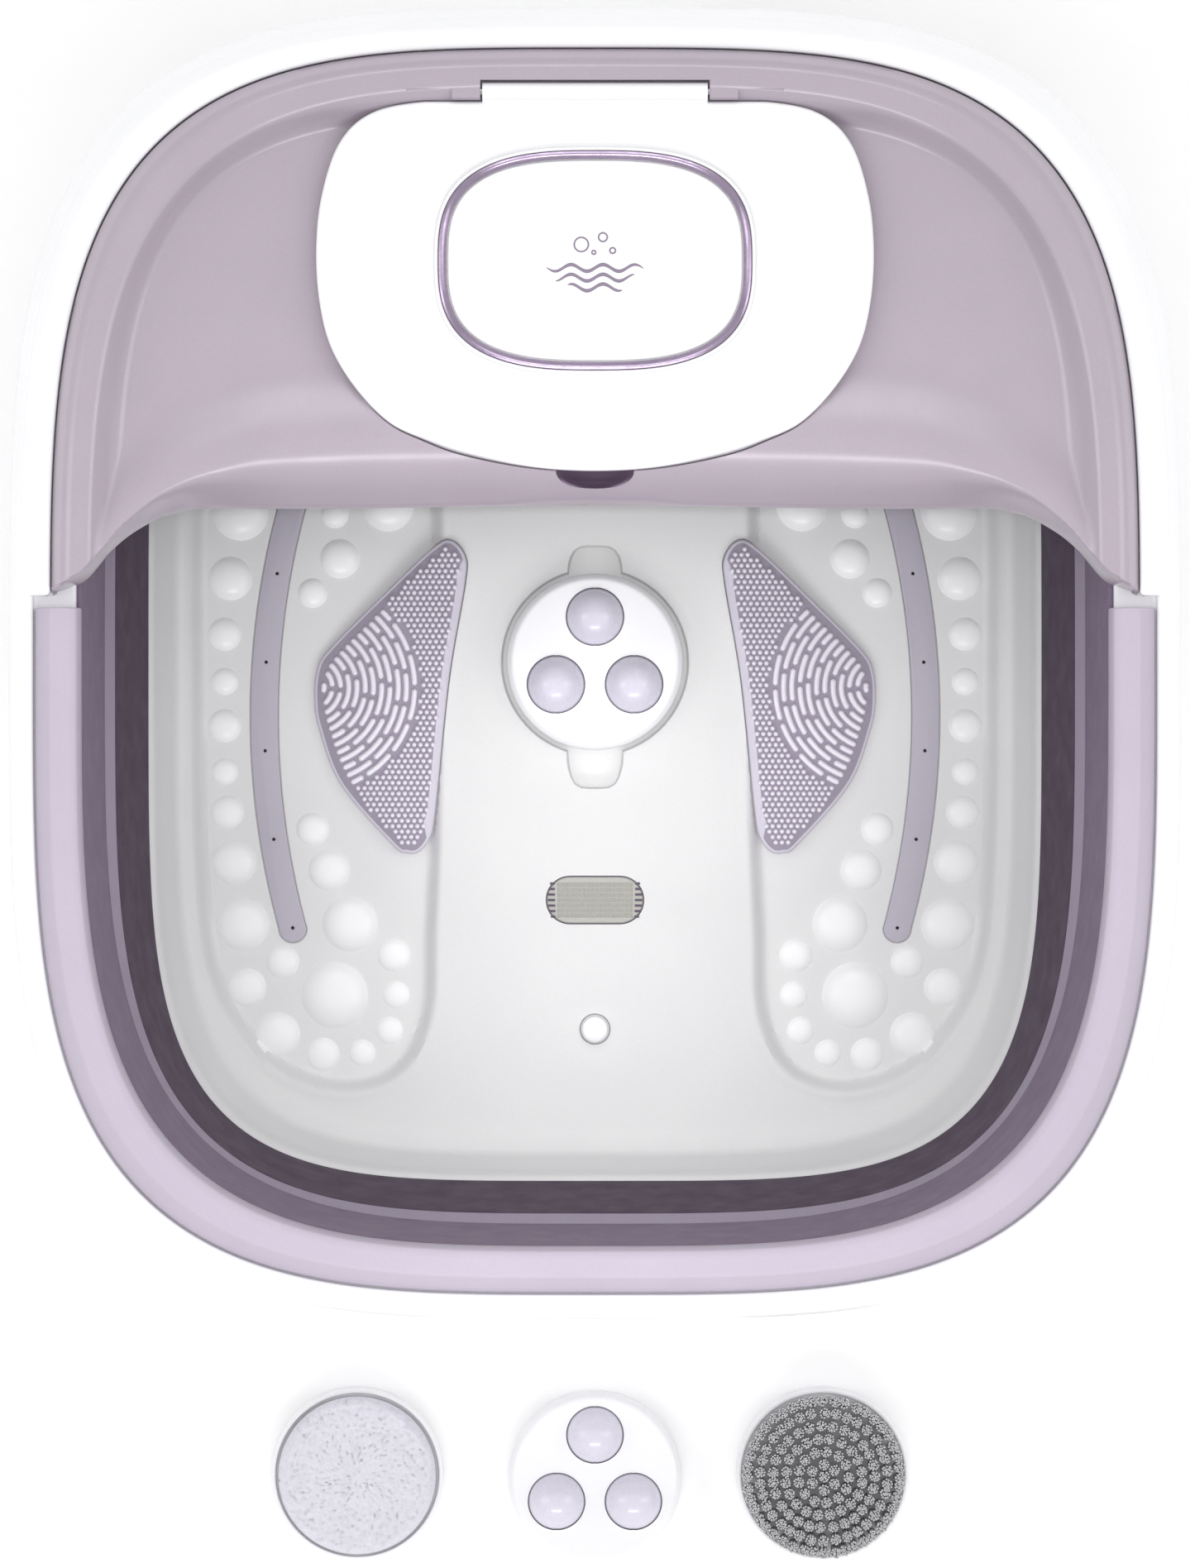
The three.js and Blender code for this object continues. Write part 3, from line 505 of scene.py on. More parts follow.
def ring_points(half_width, t):
    """The points of a ring at the superellipse angles t."""
    power = squareness(half_width)
    c, s = np.cos(t), np.sin(t)
    x = half_width * np.sign(c) * np.abs(c) ** (2 / power)
    y = half_length(half_width) * np.sign(s) * np.abs(s) ** (2 / power)
    return x, y


def even_angles(count):
    """Angles that space the points of a middle-sized ring evenly."""
    t = np.linspace(0, FULL_TURN, 40001)
    run = length_along(*ring_points(150, t))
    return np.interp(np.linspace(0, run[-1], count, endpoint=False), run, t)


def ring_sweep(profile, count=400):
    """A closed ring around the basin from a closed section of (half width, z) points."""
    t = even_angles(count)
    rows = [np.column_stack([*ring_points(a, t), np.full(count, z)]) for a, z in profile]
    return net(rows, closed_rows=True)


def part_ring(profile, end_y, front, count=300, roundness=1.6):
    """The front or back part of a ring, up to the line Y = end_y, with rounded ends."""
    profile = np.asarray(profile, float)
    depth = np.array([0, 0.04, 0.15, 0.35, 0.65, 1]) * roundness
    shrink = roundness - np.sqrt(roundness ** 2 - (roundness - depth) ** 2)
    ends = list(zip(depth, shrink))
    sections = []
    for share in range(-len(ends) + 1, count + len(ends)):
        outside = -share if share < 0 else share - count if share > count else 0
        sections.append((np.clip(share / count, 0, 1), outside))
    rows = []
    for share, outside in sections:
        back_off, thinner = ends[len(ends) - 1 - outside]
        section = inset(profile, thinner)
        a, z = section[:, 0], section[:, 1]
        sign = -1 if front else 1
        limit = end_y + sign * back_off
        fraction = np.sign(limit) * np.abs(limit / half_length(a)) ** (squareness(a) / 2)
        t_end = np.arcsin(np.clip(fraction, -1, 1))
        if front:
            start, stop = math.pi - t_end, FULL_TURN + t_end
        else:
            start, stop = t_end, math.pi - t_end
        t = start + (stop - start) * even_share(float(share), front)
        x, y = ring_points(a, t)
        rows.append(np.column_stack([x, y, z]))
    return net(rows)


known_shares = {}


def even_share(share, front):
    """Where along the angle range a share of the length lies."""
    if front not in known_shares:
        start, stop = (math.pi * 0.99, 2.01 * math.pi) if front else (0.01, math.pi - 0.01)
        t = np.linspace(0, 1, 8001)
        run = length_along(*ring_points(175, start + (stop - start) * t))
        known_shares[front] = (run / run[-1], t)
    return np.interp(share, *known_shares[front])


def ring_of(x, y):
    """The half width of the wide ring that passes through each point."""
    low, high = np.full(np.shape(x), 20.0), np.full(np.shape(x), 260.0)
    for _ in range(40):
        a = (low + high) / 2
        power = squareness(a)
        value = np.abs(x / a) ** power + np.abs(y / half_length(a)) ** power
        low = np.where(value > 1, a, low)
        high = np.where(value > 1, high, a)
    return (low + high) / 2


def hermite(pairs):
    """A smooth curve through (at, value) pairs that doesn't overshoot them."""
    at, value = np.array(pairs, float).T
    step = np.diff(value) / np.diff(at)
    slope = np.zeros(len(at))
    inner = step[:-1] * step[1:]
    slope[1:-1] = np.where(inner > 0, 2 * inner / (step[:-1] + step[1:] + 1e-12), 0)
    slope[-1] = step[-1]

    def curve(x):
        x = np.clip(x, at[0], at[-1])
        i = np.clip(np.searchsorted(at, x) - 1, 0, len(at) - 2)
        h = at[i + 1] - at[i]
        t = (x - at[i]) / h
        return (value[i] * (1 + 2 * t) * (1 - t) ** 2 + value[i + 1] * t * t * (3 - 2 * t)
                + h * (slope[i] * t * (1 - t) ** 2 + slope[i + 1] * t * t * (t - 1)))
    return curve


def distance_to(outline, x, y):
    """Signed distance from points to a closed outline, negative inside."""
    shape = np.shape(x)
    px, py = np.ravel(x), np.ravel(y)
    best = np.full(len(px), 1e9)
    inside = np.zeros(len(px), bool)
    for (ax, ay), (bx, by) in zip(outline, np.roll(outline, -1, 0)):
        dx, dy = bx - ax, by - ay
        t = np.clip(((px - ax) * dx + (py - ay) * dy) / (dx * dx + dy * dy), 0, 1)
        best = np.minimum(best, np.hypot(px - ax - t * dx, py - ay - t * dy))
        crosses = (ay > py) != (by > py)
        edge_x = ax + (py - ay) * dx / (dy if abs(dy) > 1e-12 else 1e-12)
        inside ^= crosses & (px < edge_x)
    return np.where(inside, -best, best).reshape(shape)


def mirrored(shape, side):
    """The shape itself for side 1, and its mirror image across X for side -1."""
    points, faces = shape
    return np.asarray(points, float) * np.array([side, 1, 1]), faces


def turned_along_y(profile, x, z, segments=48):
    """A turned solid about a line along Y, from (radius, y) pairs."""
    points, faces = turned(profile, segments)
    return np.column_stack([points[:, 0] + x, points[:, 2], points[:, 1] + z]), faces


def rod_along_x(radius, x, y, z, segments=40):
    points, faces = turned([(radius, x[0]), (radius, x[1])], segments)
    return np.column_stack([points[:, 2], points[:, 0] + y, points[:, 1] + z]), faces


def filled(outline, bottom, top, edge=(), rings=14):
    """A solid over an outline, between bottom(x, y) and top(x, y).

    edge holds (inset, drop) rows that round its top edge.
    """
    centre = outline.mean(0)
    shares = np.linspace(0.02, 1, rings)
    rows = []
    for share in shares:
        loop = centre + (outline - centre) * share
        rows.append(lifted(loop, bottom(*loop.T)))
    for distance, drop in edge:
        loop = inset(outline, distance)
        rows.append(lifted(loop, top(*loop.T) - drop))
    inner = inset(outline, edge[-1][0]) if edge else outline
    for share in shares[::-1][1 if edge else 0:]:
        loop = centre + (inner - centre) * share
        rows.append(lifted(loop, top(*loop.T)))
    return net(rows)


def flat(z):
    """A height function that is z everywhere."""
    return lambda x, y: np.full(np.shape(x), float(z))


def round_edge(radius, steps=4):
    """(inset, drop) rows of a quarter round."""
    angles = np.linspace(0, math.pi / 2, steps + 1)
    return [(radius * (1 - math.cos(a)), radius * (1 - math.sin(a))) for a in angles]


# ---- base ----

CORD_HOLE_RADIUS = 3.2


def make_base_shell():
    section = rounded([
        (175.5, 5), (181, 58), (180.4, 71), (176.5, 79.5), (168, 83.4), (158.2, 83.8),
        (158.2, 80.8), (168.3, 80.5), (174.5, 77.2), (178.1, 68), (178.2, 58), (172.9, 5),
    ], 3)
    made = loose_object("base_shell_skin", ring_sweep(section))
    gland = middle("cord_gland") / MM
    carve(made, turned_along_y([(5.9, 190), (5.9, 215)], gland.x, gland.z))
    piece(made, "base", WHITE, ["base_shell"])


def make_cord_gland():
    gland = middle("cord_gland") / MM
    profile = [(8.4, 202.3), (8.4, 209.9), (7.9, 210.8), (5.6, 211.3), (5.3, 215.6), (4.9, 216.2)]
    made = loose_object("cord_inlet_bushing", turned_along_y(profile, gland.x, gland.z))
    carve(made, turned_along_y([(CORD_HOLE_RADIUS, 190), (CORD_HOLE_RADIUS, 230)], gland.x, gland.z, 32))
    piece(made, "base", BLACK, ["cord_gland"])


BED_EDGE = [
    (53, 0), (54, 62), (60, 102), (78, 121), (104, 121), (126, 102), (137, 62), (138, 0), (137, -62),
    (132, -106), (114, -134), (90, -145), (68, -140), (57, -120), (55.5, -90), (54, -55),
]
# Massage nodes of the right bed, as (x, y, radius).
NODES = [
    (122.4, 53.7, 9.7), (125.8, 30.9, 7.5), (127.8, 11.7, 5.7), (127.8, -4.6, 4.7), (127.8, -19.9, 5.7),
    (127.8, -35.7, 4.6), (126.9, -49.7, 5.7), (124.6, -67.1, 7.7), (121.5, -88.5, 9.1), (120.1, -110.2, 6.6),
    (109.5, -126.5, 7.7), (93.9, -133.3, 5.7), (80.4, -132.8, 4.6), (71, -125.1, 4.7), (68.7, -112.8, 4.7),
    (69.5, -99.1, 5.7), (89.8, -112.8, 11.4), (107.8, -101.4, 5.7), (97.5, -55.6, 5.7), (91.8, -69.7, 7.1),
    (84.6, -88.3, 9.5), (97.5, 25.9, 5.1), (88.1, 37.7, 6.8), (89.8, 53.1, 4.8), (71.5, 56, 8.8),
    (117, 79, 8.5), (109, 100, 7), (92, 108, 8.5), (75, 102, 6.5), (64, 86, 6), (88, 84, 10.5),
]
SCRUBBER_EDGE = [
    (49.6, 44), (44.6, 38.2), (44.9, 28.6), (50.4, -4.3), (55, -49.1), (57, -58.8), (61, -63.6),
    (65.3, -63.7), (69.8, -61.1), (87.8, -40.3), (95.2, -21.4), (96.9, -11.1), (96, -0.5),
    (91.6, 6.8), (73.5, 24.9), (56.4, 41),
]
STRIP_RADIUS = 278
STRIP_CENTRE = (-163.8, -16.6)
STRIP_WIDTH = 9.5
STRIP_ENDS = (-90, 63)
NODE_MARGIN = 0.15         # a face is on a node when its corners are this near it
HOLE_FIRST_Y = -89.7
HOLE_PITCH = 30.6
HOLE_COUNT = 6
LENS_HALF_LENGTH = 16.6
LENS_RADIUS = 8
PRISM_ROWS = (18, 7)
PRISM_PITCH = (1.45, 1.75)
RIB_COUNT = 7              # ribs at each end of the lens, dark as painted shade
RIB_PITCH = 1.9


def strip_x(y):
    return STRIP_CENTRE[0] + np.sqrt(STRIP_RADIUS ** 2 - (y - STRIP_CENTRE[1]) ** 2)


def strip_outline(grow):
    half = STRIP_WIDTH / 2 + grow
    y = np.linspace(*STRIP_ENDS, 60)
    angle = np.linspace(0, math.pi, 14)[1:-1]
    right = np.column_stack([strip_x(y) + half, y])
    left = np.column_stack([strip_x(y) - half, y])[::-1]
    far = np.column_stack([strip_x(y[-1]) + half * np.cos(angle), y[-1] + half * np.sin(angle)])
    near = np.column_stack([strip_x(y[0]) - half * np.cos(angle), y[0] - half * np.sin(angle)])
    return np.vstack([right, far, left, near])


def lens_outline(grow):
    half, radius = LENS_HALF_LENGTH + grow, LENS_RADIUS + grow
    angle = np.linspace(-math.pi / 2, math.pi / 2, 20)
    right = np.column_stack([half - radius + radius * np.cos(angle), radius * np.sin(angle)])
    return np.vstack([right, -right]) + np.array([LENS_X, LENS_Y])


def node_dome(x, y, radius):
    """A massage node: a flattened dome on the bed, 0.42 of its radius high."""
    profile = [(radius, BED_Z - 1.5)]
    for share in np.linspace(1, 0.04, 9):
        profile.append((radius * share, BED_Z + 0.42 * radius * (1 - share ** 2.4) ** 0.75))
    return turned(profile, 40, (x, y))


def pan_heights(x, y, a, z):
    """The pan's top: sunk beds with a raised border, a dish round the toe button, a ridge round the dock."""
    bed = distance_to(smooth_loop(BED_EDGE, 120), np.abs(x), y)
    inside_wall = 1 - ease(a, 139, 146)
    z = z - (CONSOLE_Z - BED_Z) * ease(-bed, -1.2, 3.6) * inside_wall
    z = z + 0.7 * np.exp(-((bed - 2.2) / 1.7) ** 2) * inside_wall
    toe = np.hypot(x - TOE_X, y - TOE_Y)
    z = z - 1.5 * np.exp(-(toe / 8) ** 2)
    dock = np.hypot(x - DOCK_X, y - DOCK_Y)
    return z + 0.5 * np.exp(-((dock - 36.5) / 2.5) ** 2)


def make_tub_pan():
    count = 620
    t = even_angles(count)
    wall = rounded([(134, 60), (137.5, 60), (144.5, 63.5), (149.4, 74), (151.4, 80.2), (163, 80.2),
                    (163, 77.8), (153.8, 77.6), (148, 61), (139.5, PAN_UNDER_Z), (120, PAN_UNDER_Z)],
                   2.2, 4, closed=False)
    floor = [(a, CONSOLE_Z) for a in np.arange(1, 134, 1.25)]
    under = [(a, PAN_UNDER_Z) for a in (80, 40, 1)]
    rows = []
    for a, z in floor + wall.tolist() + under:
        x, y = ring_points(a, t)
        rows.append([x, y, np.full(count, z), np.full(count, a)])
    rows = np.array(rows)
    on_top = len(floor) + int(np.argmax(wall[:, 0] > 150))
    x, y, z, a = (rows[:on_top, k] for k in range(4))
    rows[:on_top, 2] = pan_heights(x, y, a, z)
    made = loose_object("pan_skin", net(np.moveaxis(rows[:, :3], 1, 2)))

    strip = prism(strip_outline(FIT), BED_Z - 1.5, PAN_TOOL_TOP)
    seat = prism(scrubber_outline(FIT), BED_Z, PAN_TOOL_TOP)
    hose = turned([(4.1, 45), (4.1, BED_Z - 1)], 24, (float(strip_x(58)), 58))
    for side in (-1, 1):
        carve(made, merge(*(mirrored(node_dome(*node), side) for node in NODES)), "UNION")
        carve(made, mirrored(merge(strip, seat), side))
        carve(made, mirrored(hose, side))
    dock = [(31.6, BED_Z), (32, BED_Z + 0.4), (32, 59), (32.5, 60), (33.6, 60.9), (33.6, PAN_TOOL_TOP)]
    carve(made, turned(dock, 120, (DOCK_X, DOCK_Y)))
    notch = oval((9.7, 41.5), 5, 80, (DOCK_X, DOCK_Y - 1.7))
    carve(made, pillow(notch, [(0, BED_Z), (0, 59), (-1.2, 61.2), (-1.2, PAN_TOOL_TOP)]))
    under_toe = turned([(6.4, 45), (6.4, 57)], 32, (TOE_X, TOE_Y))
    toe = turned([(4.9, 50), (4.9, 58), (5.4, 59), (5.4, PAN_TOOL_TOP)], 40, (TOE_X, TOE_Y))
    carve(made, merge(prism(lens_outline(FIT), 45, PAN_TOOL_TOP), toe))
    carve(made, under_toe)
    for hollow in ((-150, -135), (-114, -92), (-68, -44), (44, 150)):
        carve(made, block((-42, 42), hollow, (40, 57)))
    pan = piece(made, "base", [PAN_WHITE, NODE_LIT], ["tub_pan"], angle=38)
    colour_nodes(pan.data)


def colour_nodes(mesh):
    """Gives the second material, a whiter copy of the pan's plastic as painted highlight on the raised
    nodes, to the faces whose corners all lie on one and the same node.
    """
    corners = in_basin([vertex.co for vertex in mesh.vertices])
    owner = np.full(len(corners), -1)
    for index, (x, y, radius) in enumerate(NODES):
        near = np.hypot(np.abs(corners[:, 0]) - x, corners[:, 1] - y) < radius + NODE_MARGIN
        owner[near & (corners[:, 2] > BED_Z - 0.1)] = index
    for face in mesh.polygons:
        owners = set(owner[list(face.vertices)])
        above_bed = face.center.z / MM > BED_Z + NODE_MARGIN
        face.material_index = int(len(owners) == 1 and -1 not in owners and above_bed)


def scrubber_outline(grow):
    return inset(smooth_loop(SCRUBBER_EDGE, 150), -grow)


def scrubber_top(x, y):
    """The pad slopes up towards the console, from 57 mm at its outer tip."""
    return 57 + (97 - np.abs(x)) * 6.5 / 52


RIDGE_CENTRE = (98, -6.5)
RIDGE_PITCH = 2.85
RIDGE_WIDTH = 1.9
RIDGE_COUNT = 12
RIDGE_HEIGHT = 1.5
RIDGE_LENGTH = 11.5        # each arc is broken into bars of about this length
FIRST_ARC_RADIUS = 4.5
PAD_RIM = 2.4              # the pad's pale rim is about this wide, and ridges stay inside it
# Across the bar, as shares of its half width and its height.
RIDGE_SECTION = ((-1, -0.4), (-1, 0.35), (-0.62, 0.85), (0, 1), (0.62, 0.85), (1, 0.35), (1, -0.4))
NUB_PITCH = 2.15
NUB_RADIUS = 0.9
NUB_HEIGHT = 1.9


def ridge(radius, start, stop):
    """A round-ended bar that follows an arc on the scrubber's slope."""
    steps = max(4, int(abs(stop - start) * radius / 1.1))
    half = RIDGE_WIDTH / 2
    rows = []
    ends = [(-1, 0.05), (-0.8, 0.6), (-0.35, 0.94)]
    sections = [(start, back * half, thick) for back, thick in ends]
    sections += [(start + (stop - start) * k / steps, 0, 1) for k in range(steps + 1)]
    sections += [(stop, -back * half, thick) for back, thick in ends[::-1]]
    for angle, beyond, thick in sections:
        at = angle + beyond / radius
        loop = []
        for across, up in RIDGE_SECTION:
            r = radius + across * half * thick
            x = RIDGE_CENTRE[0] + r * math.cos(at)
            y = RIDGE_CENTRE[1] + r * math.sin(at)
            loop.append((x, y, scrubber_top(x, y) + up * RIDGE_HEIGHT * (1 if up < 0 else thick)))
        rows.append(loop)
    return net(rows)


def ridges():
    outline = scrubber_outline(-PAD_RIM)
    shapes = []
    for index in range(RIDGE_COUNT):
        radius = FIRST_ARC_RADIUS + index * RIDGE_PITCH
        angles = np.linspace(math.pi / 2, 1.5 * math.pi, 400)
        x = RIDGE_CENTRE[0] + radius * np.cos(angles)
        y = RIDGE_CENTRE[1] + radius * np.sin(angles)
        kept = angles[distance_to(outline, x, y) < -0.3]
        if len(kept) < 6:
            continue
        first, last = kept[0], kept[-1]
        length = (last - first) * radius
        bars = max(1, round(length / RIDGE_LENGTH))
        gap = 1.5 / radius
        shift = (0.5 if index % 2 else 0) / bars
        edges = sorted({0.0, 1.0, *[(k + 1) / bars - shift for k in range(bars)]})
        for low, high in zip(edges, edges[1:]):
            if (high - low) * length > 3.2:
                start = first + low * (last - first) + gap
                stop = first + high * (last - first) - gap
                shapes.append(ridge(radius, start, stop))
    return shapes


def nub(x, y):
    base = float(scrubber_top(x, y))
    profile = [(NUB_RADIUS, base - 0.4)]
    for share, up in ((0.92, 0.5), (0.7, 0.85), (0.25, 1)):
        profile.append((NUB_RADIUS * share, base + NUB_HEIGHT * up))
    return turned(profile, 9, (x, y))


def nubs():
    outline = scrubber_outline(0)
    reach = FIRST_ARC_RADIUS + (RIDGE_COUNT - 1) * RIDGE_PITCH + 2.2
    across, along = np.arange(44, 97, NUB_PITCH), np.arange(-62, 44, NUB_PITCH * 0.87)
    y, x = np.meshgrid(along, across, indexing="ij")
    x = x + (np.arange(len(x)) % 2)[:, None] * NUB_PITCH / 2
    from_centre = np.hypot(x - RIDGE_CENTRE[0], y - RIDGE_CENTRE[1])
    kept = (from_centre >= reach) & (distance_to(outline, x, y) < -PAD_RIM - 0.3)
    return [nub(float(nub_x), float(nub_y)) for nub_x, nub_y in zip(x[kept], y[kept])]


def make_scrubber(side, name):
    """A pad with a pale rim, its floor inside the rim painted darker as shade, and its ridges and nubs
    painted lighter as a highlight.
    """
    outline = scrubber_outline(0)
    pad = filled(outline, flat(BED_Z + FIT), scrubber_top, round_edge(1.1), 10)
    shape = mirrored(merge(pad, *ridges(), *nubs()), side)
    made = build(f"scrubber_pad_{name}", shape, "base", [SILICONE, SILICONE_SHADED, SILICONE_LIT],
                 [f"arch_scrubber_{name}"], 50)
    centres = in_basin([face.center for face in made.data.polygons])
    inside = distance_to(outline, np.abs(centres[:, 0]), centres[:, 1]) < -PAD_RIM - 0.2
    # Faces inside the rim get the painted shade, and the ridges and nubs get the painted highlight.
    for index, face in enumerate(made.data.polygons):
        face.material_index = 2 if index >= len(pad[1]) else int(inside[index])


def make_strip(side, name):
    outline = strip_outline(0)
    low, high = BED_Z - 1.1, BED_Z + 0.6
    band = pillow(outline, [(0, low), (0, high - 0.5), (0.15, high - 0.15), (0.5, high)])
    made = loose_object(f"bubble_band_{name}", mirrored(band, side))
    places = [HOLE_FIRST_Y + k * HOLE_PITCH for k in range(HOLE_COUNT)]
    places = [(float(strip_x(y)), y) for y in places]
    bore = [(0.55, low - 1), (0.55, high - 0.3), (0.8, high), (0.8, high + 2)]
    holes = [turned(bore, 16, place) for place in places]
    carve(made, mirrored(merge(*holes), side))
    piece(made, "base", STRIP, [f"bubble_strip_{name}"])
    # Black discs set low in the bubble holes are painted shade that makes the holes read dark.
    hole_shade_discs = [turned([(0.75, low - 0.3), (0.75, low + 0.4)], 14, place) for place in places]
    build(f"bubble_hole_shades_{name}", mirrored(merge(*hole_shade_discs), side), "base", BLACK)


def make_lens():
    outline = lens_outline(0)
    top = CONSOLE_Z - 0.1
    body = pillow(outline, [(0, PAN_UNDER_Z + 4), (0, top - 0.4), (0.4, top)])
    prisms = []
    columns, rows = PRISM_ROWS
    corners = np.array([(-1, -1), (1, -1), (1, 1), (-1, 1)]) * np.array(PRISM_PITCH) * 0.47
    for i in range(columns):
        for j in range(rows):
            at = np.array([LENS_X + (i - (columns - 1) / 2) * PRISM_PITCH[0],
                           LENS_Y + (j - (rows - 1) / 2) * PRISM_PITCH[1]])
            levels = ((1, top - 0.2), (1, top + 0.05), (0.12, top + 0.62))
            prisms.append(net([lifted(at + corners * share, z) for share, z in levels]))
    build("lens_prisms", merge(body, *prisms), "base", CLEAR, ["light_lens"], 20)
    ribs = []
    for side in (-1, 1):
        for k in range(RIB_COUNT):
            x = LENS_X + side * (13.6 + 0.05 * k)
            y = LENS_Y + (k - 3) * RIB_PITCH
            reach = 2.6 - 0.11 * (k - 3) ** 2
            low, high = sorted((x, x + side * reach))
            ribs.append(block((low, high), (y - 0.42, y + 0.42), (top - 0.3, top + 0.45)))
    build("lens_ribs", merge(*ribs), "base", SHADOW_GROOVE)
    # A dark ring round the lens, a little below the console's top, is painted shade in the gap round the
    # lens.
    section = [(-0.36, top - 3), (-0.36, top - 1.2), (0, top - 1.2), (0, top - 3)]
    build("lens_gap_shade", pillow(outline, section, closed_rows=True), "base", SHADOW_GROOVE)


def make_toe_button():
    profile = [(2, -10), (2, -4.6), (5.8, -4.6), (5.8, -3.4), (4.4, -3.4), (4.4, 2.2), (4.2, 2.75),
               (3.7, 3.1), (2.6, 3.3), (1.2, 3.38), (0.2, 3.4)]
    shape = turned([(r, z + CONSOLE_Z) for r, z in profile], 48, (TOE_X, TOE_Y))
    build("toe_button_cap", shape, "toe_button", WHITE, ["toe_button"])


STEP_FOOT_Z = 131          # the folding wall's step lies between these heights; it gets a lighter purple as painted highlight, and the wall below it a darker purple as painted shade
STEP_TOP_Z = 137.4


def make_bellows():
    section = rounded([
        (152.6, 80.6), (161.6, STEP_FOOT_Z), (165, 137), (169.4, 190.2), (181, 190.2), (181, 188),
        (171.6, 187.5), (167.3, 137), (164.2, 130.6), (156, 84.6), (157.4, 80.6),
    ], 1.6)
    dense = []
    for a, b in zip(section, np.roll(section, -1, 0)):
        steps = max(1, int(np.linalg.norm(b - a) / 3))
        dense += [a + (b - a) * k / steps for k in range(steps)]
    made = loose_object("folding_wall", ring_sweep(dense))
    set_looks(made, PURPLE, PURPLE_SHADED, PURPLE_LIT)
    # Faces above the step keep the rubber's colour. The step gets the lighter copy as painted highlight, and
    # the lower wall, deeper in the basin, gets the darker copy as painted shade.
    for face in made.data.polygons:
        height = face.center.z / MM
        face.material_index = 0 if height > STEP_TOP_Z else 2 if height > STEP_FOOT_Z else 1
    outwards(made.data, 40)
    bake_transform(made)
    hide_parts("bellows_wall")


# ---- upper frame ----


def make_upper_shell():
    skirt = rounded([
        (194.3, 150), (194.3, 184), (193.2, 191.5), (190.2, 197), (187, 199.4), (185.2, 198.8),
        (185.2, LEDGE_Z), (171.2, LEDGE_Z), (171.2, 191.2), (187.5, 191.2), (190.4, 188), (191.6, 182),
        (191.6, 150),
    ], 1.4)
    made = loose_object("rim_shell_skin", ring_sweep(skirt))
    infill = rounded([
        (179.4, LEDGE_Z - 1), (189, LEDGE_Z - 1), (190, 197.4), (186.6, 201.2), (182.5, 203.4),
        (179.4, 203.4),
    ], 1.2)
    carve(made, part_ring(infill, SPLIT_Y + 2, front=False), "UNION")
    piece(made, "upper_frame", WHITE, ["upper_shell"])


def make_rim_liner():
    section = rounded([
        (184.6, 195.9), (184.6, 198), (179.4, 205.6), (172.8, 206.2), (170.5, 205),
        (169.6, 202), (169.6, 190.7), (170.7, 190.7), (170.7, 195.9),
    ], 0.9)
    build("rim_liner_skin", part_ring(section, SPLIT_Y - 2, front=True, roundness=0.5), "upper_frame", LINER,
          ["rim_liner"])


# ---- splash guard ----

# Front edge and crest of the guard, as (distance from the middle, Y).
GUARD_FRONT = hermite([
    (0, 52.2), (100, 51), (130, 51), (141, 49), (152, 43.5), (160, 37), (168.5, 27), (179, 22),
])
GUARD_CREST = hermite([
    (0, 74), (65, 73.4), (106, 70.7), (125, 65), (141, 57.5), (155, 46), (168, 31), (179, 24),
])
CREST_Z = 206
FRONT_EDGE_Z = 190
DISH_DEPTH = 6.5
GUARD_THICKNESS = 3
BEAD = rounded([(154, 199.4), (157, 200.2), (160.5, 203), (166.3, 209.5), (172.6, 210), (175.4, 208.2),
                (178.8, 203)], 1.6, 4, closed=False)
BEAD_INNER = 157
BEAD_TOP = 166.3
LID_EDGE = [
    (0, 63.1), (22, 64.4), (43.4, 68.5), (56, 73), (67.9, 79), (79, 90.5), (87, 104), (90.7, 119),
    (91.7, 136), (90, 153), (84.5, 170), (75, 179.8), (60, 183.9), (38, 184.3),
]
LID_THICKNESS = 3.1
SCOOP_HALF = (12.9, 6.1)
SCOOP_POWER = 2.4
SCOOP_Y = 63.6
SCOOP_DEPTH = 9
TRAY_HOLE_HALF = (80, 46)
TRAY_POWER = 3


def lid_outline(grow=0.0, count=260):
    left = [(-x, y) for x, y in LID_EDGE[:0:-1]]
    curve = smooth_loop([*LID_EDGE, *left], count)
    # The back edge is straight between its corners.
    curve[:, 1] = np.minimum(curve[:, 1], LID_EDGE[-1][1])
    return inset(curve, -grow)


def lid_top(x, y):
    """The lid is flat, and its front end bends down over the guard's crest."""
    return LID_TOP_Z - 5 * ease(80 - np.asarray(y, float), 0, 17)


def lid_bottom(x, y):
    return lid_top(x, y) - LID_THICKNESS


def guard_top(x, y, a):
    """The guard's top at points of the ring a: lip, crest and dish, with the bead at its outer edge."""
    front, crest = GUARD_FRONT(np.abs(x)), GUARD_CREST(np.abs(x))
    lip = np.maximum(2.5, crest - front)
    share = np.clip((y - front) / lip, 0, 1)
    drop = (CREST_Z - FRONT_EDGE_Z) * (1 - np.sin(share * math.pi / 2))
    dish = CREST_Z - DISH_DEPTH * ease(y - front - lip, 0, 28)
    bead = np.interp(a, BEAD[:, 0], BEAD[:, 1], left=190)
    both = 0.5 * (dish + bead + np.sqrt((dish - bead) ** 2 + 0.6))
    top = np.where(a > BEAD_TOP, bead, np.where(a < BEAD_INNER - 3, dish, both))
    edge = np.clip((y - front) / 1.6, 0, 1)
    return top - drop - 0.9 * (1 - np.sqrt(1 - (1 - edge) ** 2))


